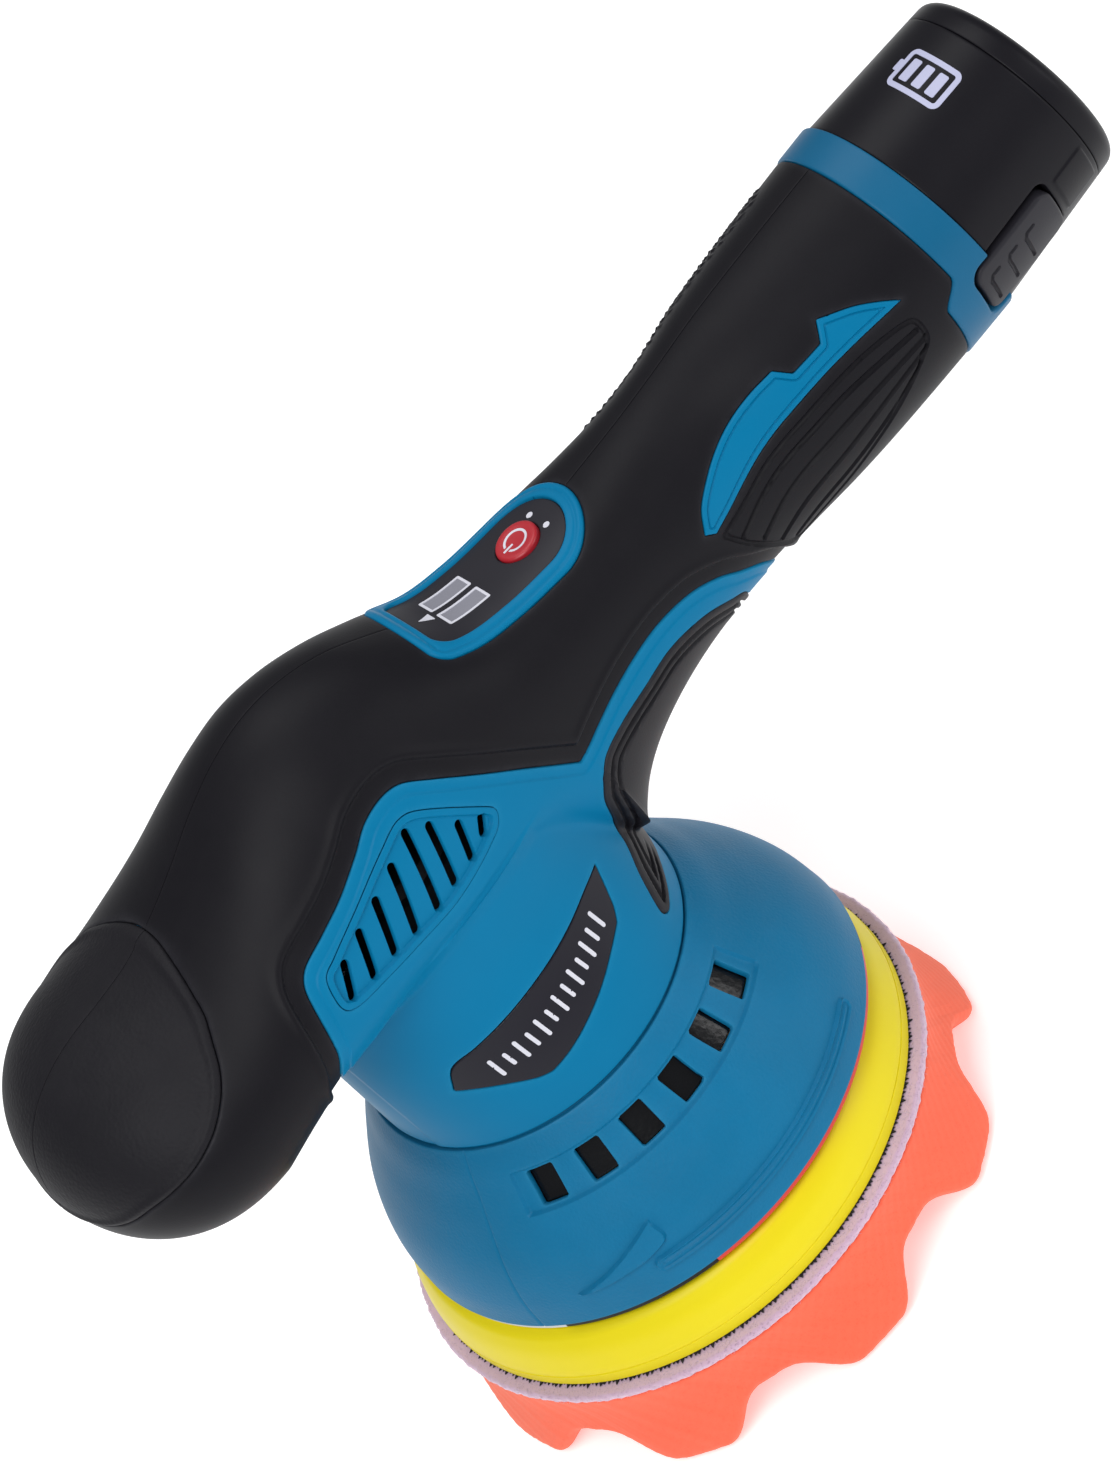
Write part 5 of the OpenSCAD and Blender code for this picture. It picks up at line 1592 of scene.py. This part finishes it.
def foamSolid():
    n = foam["turns"]
    angle = 2 * np.pi * np.arange(n) / n
    lobe = foamLobe(angle)
    low = foam["rise"] * (1 - lobe)
    face = foam["troughRadius"] + (foam["crestRadius"] - foam["troughRadius"]) * lobe
    rows = []
    for t in np.linspace(0.03, 1, foam["faceRows"]):
        r = t * (face - foam["corner"])
        z = low * smoothStep((r - foam["fadeStart"]) / foam["fadeRun"]) + 0.05
        rows.append((r, z))
    for turn in np.linspace(0, 80, 8)[1:]:
        # rounded lower edge
        s, c = np.sin(np.radians(turn)), np.cos(np.radians(turn))
        rows.append((face - foam["corner"] * (1 - s),
                     low + 0.05 + foam["corner"] * (1 - c)))
    base = rows[-1][1]
    for t in np.linspace(0, 1, 30)[1:]:
        # the side narrows towards the felt and is a little hollow
        z = base + t * (foam["rootTop"] - 1.0 - base)
        narrow = (foam["rimRadius"] - face) * smoothStep((z - base) / (foam["rootTop"] - base))
        rows.append((face + narrow - 0.5 * np.sin(np.pi * t), z))
    r = rows[-1][0]
    # rounded upper edge, then the flat top in towards the axis
    rows += [(r - inset, np.full(n, foam["rootTop"] - drop))
             for inset, drop in ((0.15, 0.55), (0.6, 0.1), (1.5, 0))]
    rows += [(np.full(n, (foam["rimRadius"] - 1.6) * t), np.full(n, foam["rootTop"]))
             for t in (0.6, 0.2)]
    ring = np.stack([np.stack([padShift + r * np.cos(angle), r * np.sin(angle), z], 1) for r, z in rows])
    # fine unevenness of cut foam on the side
    waves = [(83, 0.4, 1.3), (131, 2.6, -2.1), (47, 1.2, 0.7), (229, 5.0, 3.1)]
    side = slice(foam["faceRows"], -2)
    ring[side] = lumpy(ring[side].reshape(-1, 3), 0.14, waves).reshape(-1, n, 3)
    points = np.vstack([ring.reshape(-1, 3), [[padShift, 0, 0.05], [padShift, 0, foam["rootTop"]]]])
    count = len(rows)
    a, d = ringCells(count - 1, n)
    fan = np.arange(n)
    after = (fan + 1) % n
    bottom, top = len(points) - 2, len(points) - 1
    tri = np.concatenate([
        np.stack([a, d, d + n], 1), np.stack([a, d + n, a + n], 1),
        np.stack([np.full(n, bottom), after, fan], 1),
        np.stack([np.full(n, top), (count - 1) * n + fan, (count - 1) * n + after], 1)])
    return points, tri, np.zeros(len(points))


foamPiece = addPiece("foamPad", foamSolid(), "pad", finish["foam"], ["foam_pad"], sharpAngle=75)
print("pad made")


# marks on the labels: rows of short strokes in place of lettering
def strokeFields(strokes, half):
    # inside distance of round-ended strokes given as side-view lines
    def fields(points, q):
        near = np.minimum.reduce([lineDistance(sideView(points), np.array(s, float))
                                  for s in strokes])
        return {"ink": half - near}
    return fields


labelMark = {"half": 0.42, "lift": -0.24, "depth": 0.5, "count": 13, "start": -19.0, "pitch": 2.9,
             "lean": 0.25, "heights": (1.9, 1.3, 1.9, 1.5)}
labelStrokes = []
for k in range(labelMark["count"]):
    # the row follows the label's middle line, leaning as the label does
    x = labelMark["start"] + labelMark["pitch"] * k
    middle = np.interp(x, [-22, -10, 6, 20], [-31, -30.6, -28.4, -25.6])
    tall = labelMark["heights"][k % 4]
    labelStrokes.append([[x, middle - tall], [x - labelMark["lean"], middle + tall]])
for side, label, _ in sides:
    solid = neckSkin(side, (collarZ + 10, collarZ + 30), (0.85, 2.2), (110, 260),
                     strokeFields(labelStrokes, labelMark["half"]), {"ink": [0]}, inked,
                     lambda t, p: labelMark["lift"], labelMark["depth"])
    addPiece(f"labelMarks{label}", solid, "housing", finish["markWhite"])

# a plain charge symbol on the battery's near side: a cell outline with three bars
batteryMark = {"turn": 75.0, "x": 183.0, "size": (13.5, 8.4), "line": 0.6, "lift": 0.06}


def batteryMarkFields(points, q):
    x = points[:, 0] - batteryMark["x"]
    turn = np.degrees(np.arctan2(points[:, 2] - axisZ, -points[:, 1]))
    arc = np.radians(turn - batteryMark["turn"]) * battery["radius"]
    w, h = batteryMark["size"]
    frameLine = batteryMark["line"] - np.abs(boxField(arc, x, (-w / 2, -h / 2), (w / 2, h / 2), 1.2))
    tip = boxField(arc, x, (w / 2 + 0.5, -1.4), (w / 2 + 1.7, 1.4), 0.4)
    bars = [boxField(arc, x, (a, -h / 2 + 1.5), (a + 2.4, h / 2 - 1.5), 0.4)
            for a in (-5.0, -1.2, 2.6)]
    return {"ink": np.maximum.reduce([frameLine, tip, *bars])}


markSkin = gridSkin((177, 189), (0.9, 1.72), (110, 180))


def nearDrum(q):
    # q = (x, angle above the horizontal on the near side)
    r = drumRadius(q[:, 0])
    return np.stack([q[:, 0], -r * np.cos(q[:, 1]), axisZ + r * np.sin(q[:, 1])], 1)


addPiece("batteryMark", solidSkin(markSkin, nearDrum, batteryMarkFields, {"ink": [0]},
                                  inked, lambda t, p: batteryMark["lift"], 0.12),
         "battery", finish["markLilac"])


# screw bosses: tubes from the split line out to the far side's wells
def tubeY(x, z, low, high, outer, inner, count=40):
    points, tri, wear = lathe([(inner, low), (outer, low), (outer, high), (inner, high)], count)
    return np.stack([points[:, 0] + x, points[:, 2], -points[:, 1] + z], 1), tri, wear


boss = {"radius": 4.4, "start": 10.2, "below": 2.4, "clearance": 0.05}
tubes = []
for x, z in screwPlaces:
    # each tube ends below the narrowest place over it
    turn = np.linspace(0, 2 * np.pi, 24)
    ringX, ringZ = x + boss["radius"] * np.cos(turn), axisZ + z + boss["radius"] * np.sin(turn)
    reach = float(np.maximum(podWidthAt(ringX, ringZ), neckWidthAt(ringX, ringZ)).min()) - boss["below"]
    tubes.append(tubeY(x, axisZ + z, boss["start"], reach, boss["radius"],
                       wellRadius + boss["clearance"]))
addPiece("screwBosses", joinSolids(tubes), "housing", finish["tealSatin"])
print("marks and bosses made")

# parts inside, kept from the CAD model, each with its finish
insideFinish = {
    "plainPlastic": ["motor_endcap", "backing_core", "terminal_block", "tact_switch", "carbon_brushes"],
    "steel": ["button_spring", "housing_screws", "motor_bearings", "motor_screws", "motor_shaft",
              "pad_bearing", "hood_screws", "spindle", "latch_springs", "eccentric_hub"],
    "magnet": ["motor_can", "motor_magnets", "armature_core"],
    "copper": ["armature_windings", "commutator"],
    "brassWeight": ["counterweight"], "fanGrey": ["cooling_fan"], "cellWrap": ["battery_cells"],
    "pcbGreen": ["control_board", "motor_driver_board", "battery_board"],
}
for look, names in insideFinish.items():
    for name in names:
        materials = cadNodes[name].data.materials
        for k in range(max(1, len(materials))):
            if k < len(materials):
                materials[k] = finish[look]
            else:
                materials.append(finish[look])
print("inside finishes set")


# floor, light and camera

stageSet = {"floorZ": -0.0006, "floorSize": 4.0, "floorTone": 0.9, "floorGlow": 0.42}
floorMesh = bpy.data.meshes.new("floor")
half = stageSet["floorSize"]
floorMesh.from_pydata([(-half, -half, 0), (half, -half, 0), (half, half, 0), (-half, half, 0)], [],
                      [(0, 1, 2, 3)])
floorMesh.transform(Matrix.Translation((0, 0, stageSet["floorZ"])))
floor = bpy.data.objects.new("floor", floorMesh)
bpy.context.scene.collection.objects.link(floor)
floorMaterial, _, floorShader = newMaterial("paleFloor")
floorShader.inputs["Base Color"].default_value = [stageSet["floorTone"]] * 3 + [1]
floorShader.inputs["Roughness"].default_value = 0.9
floorShader.inputs["Specular IOR Level"].default_value = 0.0
floorShader.inputs["Emission Color"].default_value = (1, 1, 1, 1)
floorShader.inputs["Emission Strength"].default_value = stageSet["floorGlow"]
floorMesh.materials.append(floorMaterial)

world = bpy.data.worlds.new("studio")
world.use_nodes = True
world.node_tree.nodes["Background"].inputs["Color"].default_value = (0.95, 0.97, 1.0, 1)
world.node_tree.nodes["Background"].inputs["Strength"].default_value = 0.24
bpy.context.scene.world = world
bpy.context.scene.view_settings.view_transform = "Standard"

softLights = {   # place, aim, width and height in metres, watts
    "keyLight": ((-0.55, -0.75, 1.25), (0.03, 0, 0.1), 0.9, 0.9, 16),
    "topLight": ((0.35, 0.35, 1.4), (0.05, 0, 0.1), 1.0, 0.7, 8),
    "sideLight": ((1.1, -0.9, 0.6), (0.08, 0, 0.12), 0.5, 0.9, 5),
}
for name, (place, aim, width, height, power) in softLights.items():
    light = bpy.data.lights.new(name, "AREA")
    light.shape = "RECTANGLE"
    light.size, light.size_y, light.energy = width, height, power
    lamp = bpy.data.objects.new(name, light)
    lamp.location = place
    lamp.rotation_euler = (Vector(aim) - Vector(place)).to_track_quat("-Z", "Y").to_euler()
    bpy.context.scene.collection.objects.link(lamp)

view = {"elevation": 39.02, "azimuth": -8.44, "roll": 45.44, "distance": 1434.28,
        "across": 40.89, "up": 74.18, "height": 22.0, "lens": 172.37}
elevation, azimuth, roll = (math.radians(view[k]) for k in ("elevation", "azimuth", "roll"))
backward = Vector((math.sin(azimuth) * math.cos(elevation), -math.cos(azimuth) * math.cos(elevation),
                   math.sin(elevation)))
rightward = Vector((math.cos(azimuth), math.sin(azimuth), 0))
upward = backward.cross(rightward)
camX = math.cos(roll) * rightward - math.sin(roll) * upward
camY = math.sin(roll) * rightward + math.cos(roll) * upward
camData = bpy.data.cameras.new("camera")
camData.lens = view["lens"]
camData.clip_end = 20
camera = bpy.data.objects.new("camera", camData)
spot = (view["across"] * rightward + view["up"] * upward + view["distance"] * backward
        + Vector((0, 0, view["height"]))) * mm
camera.matrix_world = Matrix.Translation(spot) @ Matrix((camX, camY, backward)).transposed().to_4x4()
bpy.context.scene.collection.objects.link(camera)
bpy.context.scene.camera = camera
print("stage ready")
